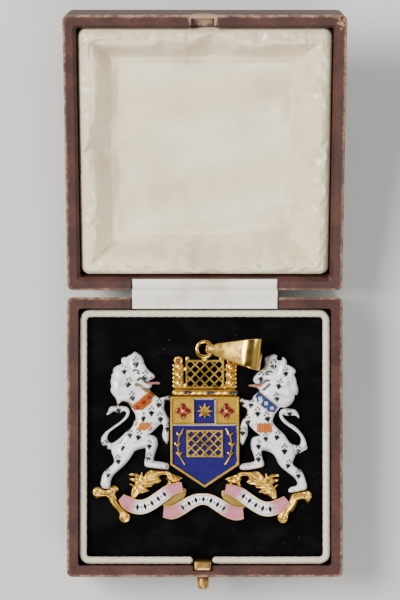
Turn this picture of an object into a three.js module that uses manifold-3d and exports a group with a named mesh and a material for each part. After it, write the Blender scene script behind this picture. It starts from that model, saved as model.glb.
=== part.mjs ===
// A civic badge of office lying in its hinged leather case. Millimetres, +Z up, +Y towards the lid.
// The origin is the middle of the case's underside.
import * as THREE from "three";
import { mergeVertices } from "three/addons/utils/BufferGeometryUtils.js";
import Module from "manifold-3d";

const wasm = await Module();
wasm.setup();

// Driving sizes of the case.
const CASE = { width: 76, depth: 77, height: 20, wall: 3.1, floor: 2, corner: 1.5, chamfer: 0.6 };
const LID = { depth: 76.6, height: 14, wall: 3.3, top: 2, draft: 0.5, round: 2.4, lip: 0.8, rest: 0.4 };
const LID_OPEN_DEG = 162;
const GAP = 0.3;

// The hinge's axis lies behind the rear faces and below the rims.
const HINGE = { behind: 0.8, below: 0.6, length: 36, knuckle: 0.7, bore: 0.46, pin: 0.32 };
const LEAF = { thick: 0.6, tall: 5.5 };
const LEAF_NEAR = HINGE.bore + LEAF.thick;
const AXIS = { y: CASE.depth / 2 + HINGE.behind, z: CASE.height - HINGE.below };

// Cloth and trim inside the case.
const VELVET_TOP = 16.2;
const CORD = { radius: 1, z: VELVET_TOP + GAP + 1, corner: 2.4, gapFrom: -3.3, gapTo: 2.1 };
const TAPE = { width: 40, thick: 0.5, recess: 0.9 };
const CATCH = { x: -0.6, width: 4.7, from: -36.5, to: -34.0, bottom: VELVET_TOP + GAP, top: 21.6 };
const BUTTON = { x: -0.5, z: 15.6, radius: 1.6, reach: 3.8, seat: 2.1 };
const NOTCH = { width: 6.2, deep: 2.4, high: 2.8 };

// The badge lies on the velvet, its flat back this high.
const BACK = VELVET_TOP + GAP;
const SHIELD = { half: 9.5, top: 11.1, shoulder: -7.7, point: -14, rim: 0.55, plate: 0.4, tall: 1.8 };
const CHIEF = { bottom: 3.5, panel: 2.95, line: 0.35, ground: 1.3 };
const ENAMEL = { low: 0.7, thick: 0.4 };
const CHARGE = { low: 1.4, thick: 0.3 };
const CREST = { half: 5.3, bottom: 13.35, top: 21.2, bar: 0.42, border: 0.5, thick: 1, side: 0.6 };
const RING = { x: -0.1, y: 24.2, z: 18.4, radius: 2.1, wire: 0.5 };
const BAIL = { thick: 0.6, small: 1, big: 3.05, reach: 10.8, pitch: 18.2, yaw: -6.3, inset: 0.25 };
const BAIL_PLAN = { loop: 1.05, loopEnd: 0.7, neck: 1.75, neckEnd: 1.9, wide: 4.7 };
const COLLAR = { across: 2.9, high: 2.35, thick: 0.5, band: 2.6 };

const MATERIALS = {
  leather: new THREE.MeshStandardMaterial({ color: 0x5c342c, roughness: 0.6 }),
  velvet: new THREE.MeshStandardMaterial({ color: 0x0e0e10, roughness: 1 }),
  cord: new THREE.MeshStandardMaterial({ color: 0xeee6cd, roughness: 0.8 }),
  satin: new THREE.MeshStandardMaterial({ color: 0xebe4d2, roughness: 0.45 }),
  tape: new THREE.MeshStandardMaterial({ color: 0xf0ece1, roughness: 0.9 }),
  brass: new THREE.MeshStandardMaterial({ color: 0xb88b3c, roughness: 0.35, metalness: 1 }),
  gold: new THREE.MeshStandardMaterial({ color: 0xd9a441, roughness: 0.25, metalness: 1 }),
  white: new THREE.MeshStandardMaterial({ color: 0xf5f3f3, roughness: 0.15 }),
  blue: new THREE.MeshStandardMaterial({ color: 0x2d2d7d, roughness: 0.1 }),
  slate: new THREE.MeshStandardMaterial({ color: 0x283c69, roughness: 0.2 }),
  orange: new THREE.MeshStandardMaterial({ color: 0xcd6e2d, roughness: 0.2 }),
  red: new THREE.MeshStandardMaterial({ color: 0x6e1e14, roughness: 0.15 }),
};

// Solids: closed geometry in, closed geometry out.
function toSolid(geometry) {
  const bare = new THREE.BufferGeometry();
  bare.setAttribute("position", geometry.getAttribute("position"));
  bare.setIndex(geometry.index);
  const merged = mergeVertices(bare, 1e-4);
  return new wasm.Manifold(
    new wasm.Mesh({
      numProp: 3,
      vertProperties: new Float32Array(merged.attributes.position.array),
      triVerts: new Uint32Array(merged.index.array),
    }),
  );
}

function toGeometry(solid) {
  const { vertProperties, triVerts } = solid.getMesh();
  const geometry = new THREE.BufferGeometry();
  geometry.setAttribute("position", new THREE.BufferAttribute(vertProperties, 3));
  geometry.setIndex(new THREE.BufferAttribute(triVerts, 1));
  geometry.computeVertexNormals();
  return geometry;
}

const join = (...geometries) =>
  toGeometry(geometries.map(toSolid).reduce((whole, next) => whole.add(next)));

const cut = (body, ...tools) =>
  toGeometry(tools.map(toSolid).reduce((whole, tool) => whole.subtract(tool), toSolid(body)));

const common = (a, b) => toGeometry(toSolid(a).intersect(toSolid(b)));

// A closed body through rings of equally many points, its ends capped by fans.
function loft(rings) {
  const count = rings[0].length;
  const index = [];
  for (let k = 0; k + 1 < rings.length; k += 1) {
    for (let i = 0; i < count; i += 1) {
      const a = k * count + i;
      const b = k * count + ((i + 1) % count);
      index.push(a, b, a + count, b, b + count, a + count);
    }
  }
  const last = (rings.length - 1) * count;
  for (let i = 1; i + 1 < count; i += 1) {
    index.push(0, i + 1, i);
    index.push(last, last + i, last + i + 1);
  }
  const points = rings.flat();
  const volume = signedVolume(points, index);
  if (volume < 0) index.reverse();
  const geometry = new THREE.BufferGeometry().setFromPoints(points);
  geometry.setIndex(index);
  return geometry;
}

function signedVolume(points, index) {
  let sum = 0;
  for (let i = 0; i < index.length; i += 3) {
    const [a, b, c] = [points[index[i]], points[index[i + 1]], points[index[i + 2]]];
    sum += a.dot(b.clone().cross(c));
  }
  return sum;
}

function box(x0, x1, y0, y1, z0, z1) {
  const geometry = new THREE.BoxGeometry(x1 - x0, y1 - y0, z1 - z0);
  return geometry.translate((x0 + x1) / 2, (y0 + y1) / 2, (z0 + z1) / 2);
}

// The same, with its first two values in either order.
const between = (a, b, ...rest) => box(Math.min(a, b), Math.max(a, b), ...rest);

function plate(outline, z0, z1) {
  const depth = z1 - z0;
  const geometry = new THREE.ExtrudeGeometry(outline, { depth, bevelEnabled: false, curveSegments: 6 });
  return geometry.translate(0, 0, z0);
}

const polygon = (points) => new THREE.Shape(points.map(([x, y]) => new THREE.Vector2(x, y)));

// A disc or short post standing on the plan at x, y.
function post(x, y, radius, z0, z1, sides = 14) {
  const geometry = new THREE.CylinderGeometry(radius, radius, z1 - z0, sides);
  return geometry.rotateX(Math.PI / 2).translate(x, y, (z0 + z1) / 2);
}

// Counter-clockwise corner points of a rectangle with rounded corners.
function roundedRing(halfX, halfY, radius, z, midY = 0, steps = 3) {
  const corners = [
    { x: 1, y: -1, from: -90 },
    { x: 1, y: 1, from: 0 },
    { x: -1, y: 1, from: 90 },
    { x: -1, y: -1, from: 180 },
  ];
  return corners.flatMap((corner) =>
    Array.from({ length: steps + 1 }, (_, i) => {
      const angle = THREE.MathUtils.degToRad(corner.from + (90 * i) / steps);
      return new THREE.Vector3(
        corner.x * (halfX - radius) + radius * Math.cos(angle),
        midY + corner.y * (halfY - radius) + radius * Math.sin(angle),
        z,
      );
    }),
  );
}

// Tables hold one row for each section. Columns: centre x and y, half width w, height h.
const table = (...rows) => rows.map(([x, y, w, h]) => ({ x, y, w, h }));

function alongPath(rows, ringOf) {
  return rows.map((row, i) => {
    const before = rows[Math.max(i - 1, 0)];
    const after = rows[Math.min(i + 1, rows.length - 1)];
    const run = new THREE.Vector2(after.x - before.x, after.y - before.y).normalize();
    return ringOf(row, new THREE.Vector2(-run.y, run.x));
  });
}

// One more, smaller section past an end row, so that a limb ends round.
function roundEnd(end, next) {
  const away = new THREE.Vector2(end.x - next.x, end.y - next.y).normalize().multiplyScalar(end.w * 0.8);
  return { x: end.x + away.x, y: end.y + away.y, w: end.w * 0.5, h: end.h * 0.7 };
}

// A limb has a flat back and half-elliptic sections across its path.
function limb(rows, low = BACK, sides = 5) {
  const path = [roundEnd(rows[0], rows[1]), ...rows, roundEnd(rows.at(-1), rows.at(-2))];
  return loft(
    alongPath(path, (row, across) =>
      Array.from({ length: sides + 1 }, (_, i) => {
        const angle = (Math.PI * i) / sides;
        const offset = row.w * Math.cos(angle);
        const height = low + row.h * Math.sin(angle);
        return new THREE.Vector3(row.x + across.x * offset, row.y + across.y * offset, height);
      }),
    ),
  );
}

// A flat ribbon along its path, from one height to another.
function ribbon(rows, z0, z1) {
  const corners = [[-1, z0], [1, z0], [1, z1], [-1, z1]];
  return loft(
    alongPath(rows, (row, across) =>
      corners.map(([side, z]) => {
        const offset = side * row.w;
        return new THREE.Vector3(row.x + across.x * offset, row.y + across.y * offset, z);
      }),
    ),
  );
}

// An arch over the X axis, used across a neck: half an ellipse with a smaller one taken out.
function arch(inner, outer, width, place) {
  const shape = new THREE.Shape();
  shape.absellipse(0, 0, outer.across, outer.high, 0, Math.PI, false);
  shape.lineTo(-inner.across, 0);
  shape.absellipse(0, 0, inner.across, inner.high, Math.PI, 0, true);
  const settings = { depth: width, bevelEnabled: false, curveSegments: 10 };
  const geometry = new THREE.ExtrudeGeometry(shape, settings);
  geometry.translate(0, 0, -width / 2).rotateX(Math.PI / 2);
  return geometry.rotateZ(THREE.MathUtils.degToRad(place.turn)).translate(place.x, place.y, BACK);
}

const badge = new THREE.Group();
const lid = new THREE.Group();
lid.position.set(0, AXIS.y, AXIS.z);
lid.rotation.x = THREE.MathUtils.degToRad(-LID_OPEN_DEG);
const group = new THREE.Group();
group.add(badge, lid);

function piece(name, geometry, material, parent = group) {
  const mesh = new THREE.Mesh(geometry, material.clone());
  mesh.name = name;
  parent.add(mesh);
}

// Lid pieces are drawn shut, in the case's frame, and moved to the hinge's frame here.
const onLid = (geometry) => geometry.translate(0, -AXIS.y, -AXIS.z);

const halfX = CASE.width / 2;
const halfY = CASE.depth / 2;
const lidMidY = halfY - LID.depth / 2;
const lidRim = CASE.height + LID.rest;
const tapeHalf = TAPE.width / 2 + 0.4;

// The pocket for a hinge leaf and, above it, the shallow seat of the tape.
function hingePocket(z0, z1) {
  const half = HINGE.length / 2 + GAP;
  return box(-half, half, AXIS.y - LEAF_NEAR - GAP, halfY + 1, z0, z1);
}

function caseBase() {
  const outer = loft([
    roundedRing(halfX - CASE.chamfer, halfY - CASE.chamfer, CASE.corner, 0),
    roundedRing(halfX, halfY, CASE.corner, CASE.chamfer),
    roundedRing(halfX, halfY, CASE.corner, CASE.height - 0.4),
    roundedRing(halfX - 0.4, halfY - 0.4, CASE.corner, CASE.height),
  ]);
  const inside = loft([
    roundedRing(halfX - CASE.wall, halfY - CASE.wall, 0.8, CASE.floor),
    roundedRing(halfX - CASE.wall, halfY - CASE.wall, 0.8, CASE.height + 1),
  ]);
  const catchHalf = CATCH.width / 2 + GAP;
  const catchSlot = box(
    CATCH.x - catchHalf,
    CATCH.x + catchHalf,
    CATCH.from - GAP,
    -halfY + CASE.wall + 1,
    CASE.floor,
    CASE.height + 1,
  );
  const seat = new THREE.CylinderGeometry(BUTTON.radius + GAP, BUTTON.radius + GAP, BUTTON.seat * 2, 20);
  seat.translate(BUTTON.x, -halfY, BUTTON.z);
  const tapeLow = CASE.height - TAPE.recess;
  const tapeSeat = box(-tapeHalf, tapeHalf, halfY - CASE.wall - 1, halfY + 1, tapeLow, CASE.height + 1);
  const leafPocket = hingePocket(AXIS.z - LEAF.tall - GAP, CASE.height + 1);
  return cut(outer, inside, catchSlot, seat, tapeSeat, leafPocket);
}

function caseLid() {
  const top = lidRim + LID.height;
  const ring = (inset, z) =>
    roundedRing(halfX - inset, LID.depth / 2 - inset, CASE.corner + inset / 2, z, lidMidY);
  const outer = loft([
    ring(0.3, lidRim),
    ring(0, lidRim + 0.3),
    ring(LID.draft, top - LID.round),
    ring(LID.draft + LID.round * 0.3, top - LID.round * 0.3),
    ring(LID.draft + LID.round, top),
  ]);
  const hollow = (inset, z) =>
    roundedRing(halfX - inset, LID.depth / 2 - inset, 0.8, z, lidMidY);
  const inside = loft([
    hollow(LID.wall - LID.lip, lidRim - 1),
    hollow(LID.wall - LID.lip + 0.2, lidRim),
    hollow(LID.wall + 0.2, lidRim + LID.lip),
    hollow(LID.wall + 0.2, top - LID.top),
  ]);
  const front = lidMidY - LID.depth / 2;
  const notch = box(
    CATCH.x - NOTCH.width / 2,
    CATCH.x + NOTCH.width / 2,
    front + LID.wall - NOTCH.deep,
    front + LID.wall + 1,
    lidRim - 1,
    lidRim + NOTCH.high,
  );
  const tapeHigh = lidRim + TAPE.recess;
  const tapeSeat = box(-tapeHalf, tapeHalf, halfY - LID.wall - 1, halfY + 1, lidRim - 1, tapeHigh);
  const leafPocket = hingePocket(lidRim - 1, AXIS.z + LEAF.tall + GAP);
  return onLid(cut(outer, inside, notch, tapeSeat, leafPocket));
}

// Rings from the pad's hidden back, up its edge, over the puffed border and down to the middle.
// Columns: inset from the lid's inner wall, height above the lid's rim.
const SATIN = [
  { inset: 0, z: 11.7 },
  { inset: 0, z: 2.6 },
  { inset: 1.0, z: 1.3 },
  { inset: 3.2, z: 0.9 },
  { inset: 5.6, z: 2.2 },
  { inset: 7.2, z: 5.0 },
  { inset: 8.6, z: 6.4 },
  { inset: 11, z: 7.0 },
];

function satinPad() {
  const edge = LID.wall + 0.2 + GAP;
  const rings = SATIN.map(({ inset, z }) =>
    roundedRing(halfX - edge - inset, LID.depth / 2 - edge - inset, 2.5, lidRim + z, lidMidY, 4),
  );
  return onLid(loft(rings));
}

function velvetPad() {
  const inset = CASE.wall + GAP;
  const low = CASE.floor + GAP;
  const pad = loft([
    roundedRing(halfX - inset, halfY - inset, 0.8, low),
    roundedRing(halfX - inset, halfY - inset, 0.8, VELVET_TOP - 0.5),
    roundedRing(halfX - inset - 0.5, halfY - inset - 0.5, 0.8, VELVET_TOP),
  ]);
  return pad;
}

// The cord runs round the pad's edge and leaves a gap at the catch.
function edgingCord() {
  const x = halfX - CASE.wall - GAP - CORD.radius;
  const y = halfY - CASE.wall - GAP - CORD.radius;
  const turn = CORD.corner;
  const at = (px, py) => new THREE.Vector3(px, py, CORD.z);
  const corner = (from, bend, to) => new THREE.QuadraticBezierCurve3(at(...from), at(...bend), at(...to));
  const line = (from, to) => new THREE.LineCurve3(at(...from), at(...to));
  const bends = [
    [[x - turn, -y], [x, -y], [x, -y + turn]],
    [[x, y - turn], [x, y], [x - turn, y]],
    [[-x + turn, y], [-x, y], [-x, y - turn]],
    [[-x, -y + turn], [-x, -y], [-x + turn, -y]],
  ];
  const start = [CORD.gapTo + CORD.radius, -y];
  const end = [CORD.gapFrom - CORD.radius, -y];
  const stops = [start, ...bends.flatMap((bend) => [bend[0], bend[2]]), end];
  const curves = [];
  for (let i = 0; i < stops.length; i += 2) {
    curves.push(line(stops[i], stops[i + 1]));
    if (i / 2 < bends.length) curves.push(corner(...bends[i / 2]));
  }
  const sides = 8;
  const rings = curves.flatMap((curve, k) => {
    const count = curve.isLineCurve3 ? 1 : 4;
    const first = k === 0 ? 0 : 1;
    return Array.from({ length: count + 1 - first }, (_, i) => {
      const t = (i + first) / count;
      const run = curve.getTangent(t);
      const out = new THREE.Vector3(run.y, -run.x, 0);
      const centre = curve.getPoint(t);
      return Array.from({ length: sides }, (_, s) => {
        const angle = (2 * Math.PI * s) / sides;
        const point = centre.clone().addScaledVector(out, CORD.radius * Math.cos(angle));
        point.z += CORD.radius * Math.sin(angle);
        return point;
      });
    });
  });
  return loft(rings);
}

function clasp() {
  const half = CATCH.width / 2;
  const deep = (CATCH.to - CATCH.from) / 2;
  const middle = (CATCH.from + CATCH.to) / 2;
  const block = loft([
    roundedRing(half, deep, 0.6, CATCH.bottom, middle),
    roundedRing(half, deep, 0.6, CATCH.top - 0.5, middle),
    roundedRing(half - 0.4, deep - 0.4, 0.5, CATCH.top, middle),
  ]);
  piece("clasp_catch", block.translate(CATCH.x, 0, 0), MATERIALS.brass);

  const length = BUTTON.seat - GAP + BUTTON.reach;
  const profile = [[0, 0], [1, 0], [1, length - 0.6], [0.8, length - 0.15], [0.4, length], [0, length]];
  const outline = profile.map(([share, y]) => new THREE.Vector2(share * BUTTON.radius, y));
  const knob = new THREE.LatheGeometry(outline, 16);
  knob.rotateZ(Math.PI).translate(BUTTON.x, -halfY + BUTTON.seat - GAP, BUTTON.z);
  piece("push_button", knob, MATERIALS.brass);
}

// Five knuckles share the hinge's length, three on the case and two on the lid.
function hingeLeaf(first, up) {
  const count = 5;
  const pitch = HINGE.length / count;
  const parts = [];
  const yNear = AXIS.y - LEAF_NEAR;
  const yFar = AXIS.y - HINGE.bore;
  const clear = HINGE.knuckle + 0.25;
  const strip = (x0, x1, from, to) =>
    parts.push(box(x0, x1, yNear, yFar, AXIS.z + Math.min(from, to), AXIS.z + Math.max(from, to)));
  strip(-HINGE.length / 2, HINGE.length / 2, up * clear, up * LEAF.tall);
  for (let i = first; i < count; i += 2) {
    const x0 = -HINGE.length / 2 + i * pitch;
    strip(x0 + 0.2, x0 + pitch - 0.2, up * HINGE.bore * 0.75, up * (clear + 0.5));
    const tube = new THREE.CylinderGeometry(HINGE.knuckle, HINGE.knuckle, pitch - 0.4, 12);
    parts.push(tube.rotateZ(Math.PI / 2).translate(x0 + pitch / 2, AXIS.y, AXIS.z));
  }
  const bore = new THREE.CylinderGeometry(HINGE.bore, HINGE.bore, HINGE.length + 2, 12);
  bore.rotateZ(Math.PI / 2).translate(0, AXIS.y, AXIS.z);
  return cut(join(...parts), bore);
}

function hinge() {
  piece("hinge_leaf_case", hingeLeaf(0, -1), MATERIALS.brass);
  piece("hinge_leaf_lid", onLid(hingeLeaf(1, 1)), MATERIALS.brass, lid);
  const pin = new THREE.CylinderGeometry(HINGE.pin, HINGE.pin, HINGE.length, 10);
  piece("hinge_pin", pin.rotateZ(Math.PI / 2).translate(0, AXIS.y, AXIS.z), MATERIALS.brass);
}

// The tape lies in its seats and bridges the hinge. Columns: distance behind the axis, height above it.
function hingeTape() {
  const open = THREE.MathUtils.degToRad(180 - LID_OPEN_DEG);
  const seat = HINGE.below - TAPE.recess + GAP;
  const lidSeat = lidRim + TAPE.recess - GAP - AXIS.z;
  const onLidAt = (back) => ({
    y: back * Math.cos(open) + lidSeat * Math.sin(open),
    z: back * Math.sin(open) - lidSeat * Math.cos(open),
  });
  const over = HINGE.knuckle + GAP + 0.05;
  const centre = [
    { y: -HINGE.behind - CASE.wall + 0.2, z: seat },
    { y: -HINGE.behind - 0.5, z: seat },
    { y: -0.6, z: over * 0.9 },
    { y: 0.25, z: over },
    { y: 1.05, z: over * 0.6 },
    { y: 1.75, z: -over * 0.2 },
    onLidAt(HINGE.behind + 0.9),
    onLidAt(HINGE.behind + LID.wall - 0.2),
  ];
  const half = TAPE.width / 2;
  const rings = centre.map((here, i) => {
    const before = centre[Math.max(i - 1, 0)];
    const after = centre[Math.min(i + 1, centre.length - 1)];
    const run = new THREE.Vector2(after.y - before.y, after.z - before.z).normalize();
    const lift = new THREE.Vector2(-run.y, run.x).multiplyScalar(TAPE.thick);
    const low = new THREE.Vector3(half, AXIS.y + here.y, AXIS.z + here.z);
    const high = low.clone().add(new THREE.Vector3(0, lift.x, lift.y));
    const mirror = (p) => new THREE.Vector3(-p.x, p.y, p.z);
    return [low, high, mirror(high), mirror(low)];
  });
  return loft(rings);
}

// The supporters, drawn for the left one. Each table is a limb from its root to its tip.
const LION = {
  mane: table(
    [-19.6, 22.9, 0.8, 1.3], [-20.0, 21.8, 2.4, 2.0], [-20.5, 20.0, 3.6, 2.5],
    [-21.6, 18.0, 4.0, 2.7], [-22.0, 16.0, 4.0, 2.8], [-22.1, 14.0, 3.9, 2.7],
    [-22.3, 12.4, 3.3, 2.4], [-23.6, 10.8, 1.4, 1.7], [-24.1, 9.7, 0.5, 1.0],
  ),
  muzzle: table(
    [-19.6, 18.2, 2.9, 2.6], [-17.4, 18.1, 2.4, 2.4], [-16.0, 17.3, 1.9, 2.1],
    [-14.9, 16.8, 1.3, 1.7], [-14.4, 16.5, 0.7, 1.3],
  ),
  jaw: table([-19.0, 14.2, 1.4, 2.0], [-16.7, 14.0, 0.8, 1.7], [-15.6, 13.8, 0.55, 1.4]),
  tongue: table([-17.2, 15.1, 0.4, 1.4], [-14.6, 14.8, 0.3, 1.2], [-12.95, 14.75, 0.2, 1.0]),
  neck: table(
    [-20.4, 13.4, 2.9, 2.2], [-18.4, 11.2, 2.55, 2.0], [-16.2, 8.6, 2.55, 2.0],
    [-15.4, 7.4, 2.9, 2.2],
  ),
  torso: table(
    [-15.6, 8.0, 3.5, 2.3], [-15.6, 6.2, 3.9, 2.5], [-15.9, 4.4, 3.7, 2.5], [-17.3, 2.4, 3.0, 2.3],
    [-19.2, 0.4, 2.9, 2.3], [-21.0, -1.8, 3.1, 2.4], [-22.4, -4.2, 2.7, 2.3],
    [-23.3, -6.3, 2.1, 2.0], [-24.2, -8.0, 1.5, 1.8], [-25.7, -9.5, 1.25, 1.7],
    [-27.0, -11.0, 1.2, 1.6], [-27.5, -12.7, 1.25, 1.6], [-27.5, -13.6, 1.25, 1.5],
  ),
  thigh: table([-20.0, -1.8, 2.0, 2.2], [-17.4, -1.5, 1.9, 2.2], [-15.3, -1.3, 1.7, 2.1]),
  shank: table(
    [-14.9, -1.2, 1.7, 2.1], [-14.8, -3.2, 1.6, 2.0], [-15.2, -5.2, 1.3, 1.8],
    [-15.5, -7.1, 1.2, 1.7],
  ),
  foot: table(
    [-15.7, -7.8, 0.9, 1.6], [-13.6, -8.0, 0.85, 1.5], [-11.5, -8.05, 0.85, 1.5],
    [-10.7, -8.05, 0.75, 1.4],
  ),
  reach: table(
    [-14.4, 8.6, 1.5, 2.0], [-12.6, 9.7, 1.2, 1.8], [-11.0, 10.2, 0.7, 1.6], [-10.5, 10.4, 0.8, 1.5],
  ),
  foreleg: table(
    [-13.0, 7.6, 1.6, 2.2], [-12.0, 5.6, 1.4, 2.0], [-11.1, 3.4, 1.1, 1.8], [-10.85, 1.0, 0.95, 1.7],
    [-10.85, -0.6, 0.95, 1.6], [-10.7, -1.4, 0.55, 1.3],
  ),
};
const TAIL_LEFT = table(
  [-25.0, -2.5, 1.0, 1.5], [-26.6, -2.7, 0.9, 1.3], [-27.7, -2.1, 0.85, 1.2],
  [-27.95, -0.8, 0.75, 1.1], [-27.3, 0.6, 0.65, 1.1], [-25.8, 1.95, 0.55, 1.0],
  [-23.6, 3.5, 0.5, 1.0], [-22.1, 4.8, 0.55, 1.0], [-21.45, 5.9, 0.6, 1.1], [-21.6, 6.9, 0.65, 1.1],
  [-22.7, 7.6, 0.7, 1.2], [-24.4, 7.8, 0.8, 1.2], [-25.8, 7.4, 0.75, 1.1], [-26.8, 6.5, 0.35, 0.9],
);
const TAIL_RIGHT = table(
  [24.3, -3.3, 1.0, 1.5], [26.0, -3.7, 0.9, 1.3], [27.4, -2.9, 0.95, 1.2], [27.3, -1.4, 0.75, 1.1],
  [26.7, 0.0, 0.6, 1.1], [25.3, 1.5, 0.55, 1.0], [23.3, 2.9, 0.5, 1.0], [21.8, 4.2, 0.55, 1.0],
  [20.95, 5.4, 0.6, 1.1], [21.1, 6.5, 0.6, 1.1], [22.4, 7.0, 0.7, 1.2], [24.0, 6.9, 0.8, 1.2],
  [25.1, 6.4, 0.7, 1.1], [25.8, 5.6, 0.3, 0.9],
);
const TOES_RIGHT = table([27.0, -13.8, 1.0, 1.5], [25.4, -14.3, 0.75, 1.4], [24.1, -14.5, 0.55, 1.2]);
const NECKBAND = { x: -17.1, y: 9.75, turn: 39.8 };
const STRAP = table([-19.9, 7.9, 0.5, 1.0], [-20.9, 8.9, 0.6, 1.0], [-22.3, 9.5, 0.5, 0.9]);

// The right supporter is the left one mirrored, a little nearer the shield and lower, but not at its feet.
const RIGHT = { nearer: 0.2, nearFrom: 11, nearTo: 14, lower: 0.5, kneeFrom: -8, kneeTo: -3 };
function toRight(row) {
  const nearer = RIGHT.nearer * THREE.MathUtils.smoothstep(-row.x, RIGHT.nearFrom, RIGHT.nearTo);
  const lower = RIGHT.lower * THREE.MathUtils.smoothstep(row.y, RIGHT.kneeFrom, RIGHT.kneeTo);
  return { ...row, x: -row.x - nearer, y: row.y - lower };
}

const grown = (rows, by) => rows.map((row) => ({ ...row, w: row.w + by, h: row.h + by }));

function supporter(name, place, ownLimbs, collarName, collarMaterial, strap) {
  const limbs = [...Object.values(LION).map((rows) => rows.map(place)), ...ownLimbs];
  const centre = place({ x: NECKBAND.x, y: NECKBAND.y });
  const at = { x: centre.x, y: centre.y, turn: centre.x < 0 ? NECKBAND.turn : -NECKBAND.turn };
  const inner = { across: COLLAR.across, high: COLLAR.high };
  const outer = { across: inner.across + COLLAR.thick, high: inner.high + COLLAR.thick };
  const clearInner = { across: inner.across - GAP, high: inner.high - GAP };
  const clearOuter = { across: outer.across + 0.6, high: outer.high + 1 };
  const groove = arch(clearInner, clearOuter, COLLAR.band + 2 * GAP, at);
  const body = cut(join(...limbs.map((rows) => limb(rows))), groove);
  const band = arch(inner, outer, COLLAR.band, at);
  if (strap) {
    piece(name, cut(body, limb(grown(strap, GAP), BACK - 0.01)), MATERIALS.white, badge);
    piece(collarName, join(band, limb(strap)), collarMaterial, badge);
  } else {
    piece(name, body, MATERIALS.white, badge);
    piece(collarName, band, collarMaterial, badge);
  }
}

// Shield outline, inset evenly from its rim by `inset`.
function shieldPoints(inset) {
  const slope = Math.atan2(SHIELD.shoulder - SHIELD.point, SHIELD.half);
  const tip = SHIELD.point + inset / Math.cos(slope);
  const half = SHIELD.half - inset;
  const shoulder = tip + half * Math.tan(slope);
  const top = SHIELD.top - inset;
  return [[-half, shoulder], [0, tip], [half, shoulder], [half, top], [-half, top]];
}

const slab = (half, y0, y1) => [[-half, y0], [half, y0], [half, y1], [-half, y1]];

function shield() {
  const top = BACK + SHIELD.tall;
  const floor = BACK + SHIELD.plate;
  const body = plate(polygon(shieldPoints(0)), BACK, top);
  const field = common(
    plate(polygon(shieldPoints(SHIELD.rim)), floor, top + 1),
    box(-20, 20, -20, CHIEF.bottom - CHIEF.line / 2, 0, 40),
  );
  const panelLow = CHIEF.bottom + CHIEF.line / 2;
  const panelHigh = SHIELD.top - SHIELD.rim;
  const panel = plate(polygon(slab(CHIEF.panel, panelLow, panelHigh)), floor, top + 1);
  const grounds = [-1, 1].map((side) => {
    const inner = side * (CHIEF.panel + CHIEF.line);
    const outer = side * (SHIELD.half - SHIELD.rim);
    return between(inner, outer, panelLow, panelHigh, BACK + CHIEF.ground, top + 1);
  });
  piece("shield_frame", cut(body, field, panel, ...grounds), MATERIALS.gold, badge);

  const low = BACK + ENAMEL.low;
  const enamelOutline = plate(polygon(shieldPoints(SHIELD.rim + GAP)), low, low + ENAMEL.thick);
  const below = box(-20, 20, -20, CHIEF.bottom - CHIEF.line / 2 - GAP, 0, 40);
  piece("field_enamel", common(enamelOutline, below), MATERIALS.blue, badge);
  const panelEnamel = polygon(slab(CHIEF.panel - GAP, panelLow + GAP, panelHigh - GAP));
  piece("panel_enamel", plate(panelEnamel, low, low + ENAMEL.thick), MATERIALS.blue, badge);
}

// Points round a centre at radii given by a formula of the angle.
function petals(x, y, count, radiusAt) {
  const points = Array.from({ length: count }, (_, i) => {
    const angle = (2 * Math.PI * i) / count;
    const radius = radiusAt(angle, i);
    return [x + radius * Math.cos(angle), y + radius * Math.sin(angle)];
  });
  return polygon(points);
}

// A plate with lozenges cut through it in staggered rows, whole ones inside and halves along the border.
function lattice(area, across, bar, border, z0, z1) {
  const { x0, x1, y0, y1 } = area;
  const pitch = (x1 - x0) / across;
  const down = Math.round((y1 - y0) / pitch);
  const pitchY = (y1 - y0) / down;
  const radius = 1 - (bar * Math.SQRT2) / pitch;
  const holes = [];
  for (let i = 0; i <= 2 * across; i += 1) {
    for (let j = i % 2; j <= 2 * down; j += 2) {
      const hole = new THREE.CylinderGeometry(radius, radius, z1 - z0 + 2, 4);
      hole.rotateX(Math.PI / 2).scale(pitch / 2, pitchY / 2, 1);
      holes.push(hole.translate(x0 + (i * pitch) / 2, y0 + (j * pitchY) / 2, (z0 + z1) / 2));
    }
  }
  const window = box(x0 + border, x1 - border, y0 + border, y1 - border, z0 - 2, z1 + 2);
  return cut(box(x0, x1, y0, y1, z0, z1), common(join(...holes), window));
}

const SPRAY = table(
  [-5.9, 2.2, 0.22, 0.3], [-7.0, 0.2, 0.25, 0.3], [-7.5, -2.6, 0.25, 0.3], [-7.1, -5.2, 0.25, 0.3],
  [-5.6, -7.6, 0.22, 0.3],
);

// A curved stem with a leaf on either side at each of its sections.
function spray(side) {
  const z = BACK + CHARGE.low;
  const rows = SPRAY.map((row) => ({ ...row, x: side * -row.x }));
  const leaves = SPRAY.slice(1, 4).flatMap((row) =>
    [-1, 1].map((hand) => {
      const start = { x: side * -row.x, y: row.y, w: 0.25, h: 0.3 };
      const end = { x: start.x + hand * 0.65, y: row.y + 0.75, w: 0.3, h: 0.3 };
      return limb([start, end], z, 3);
    }),
  );
  return join(limb(rows, z, 3), ...leaves);
}

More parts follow.
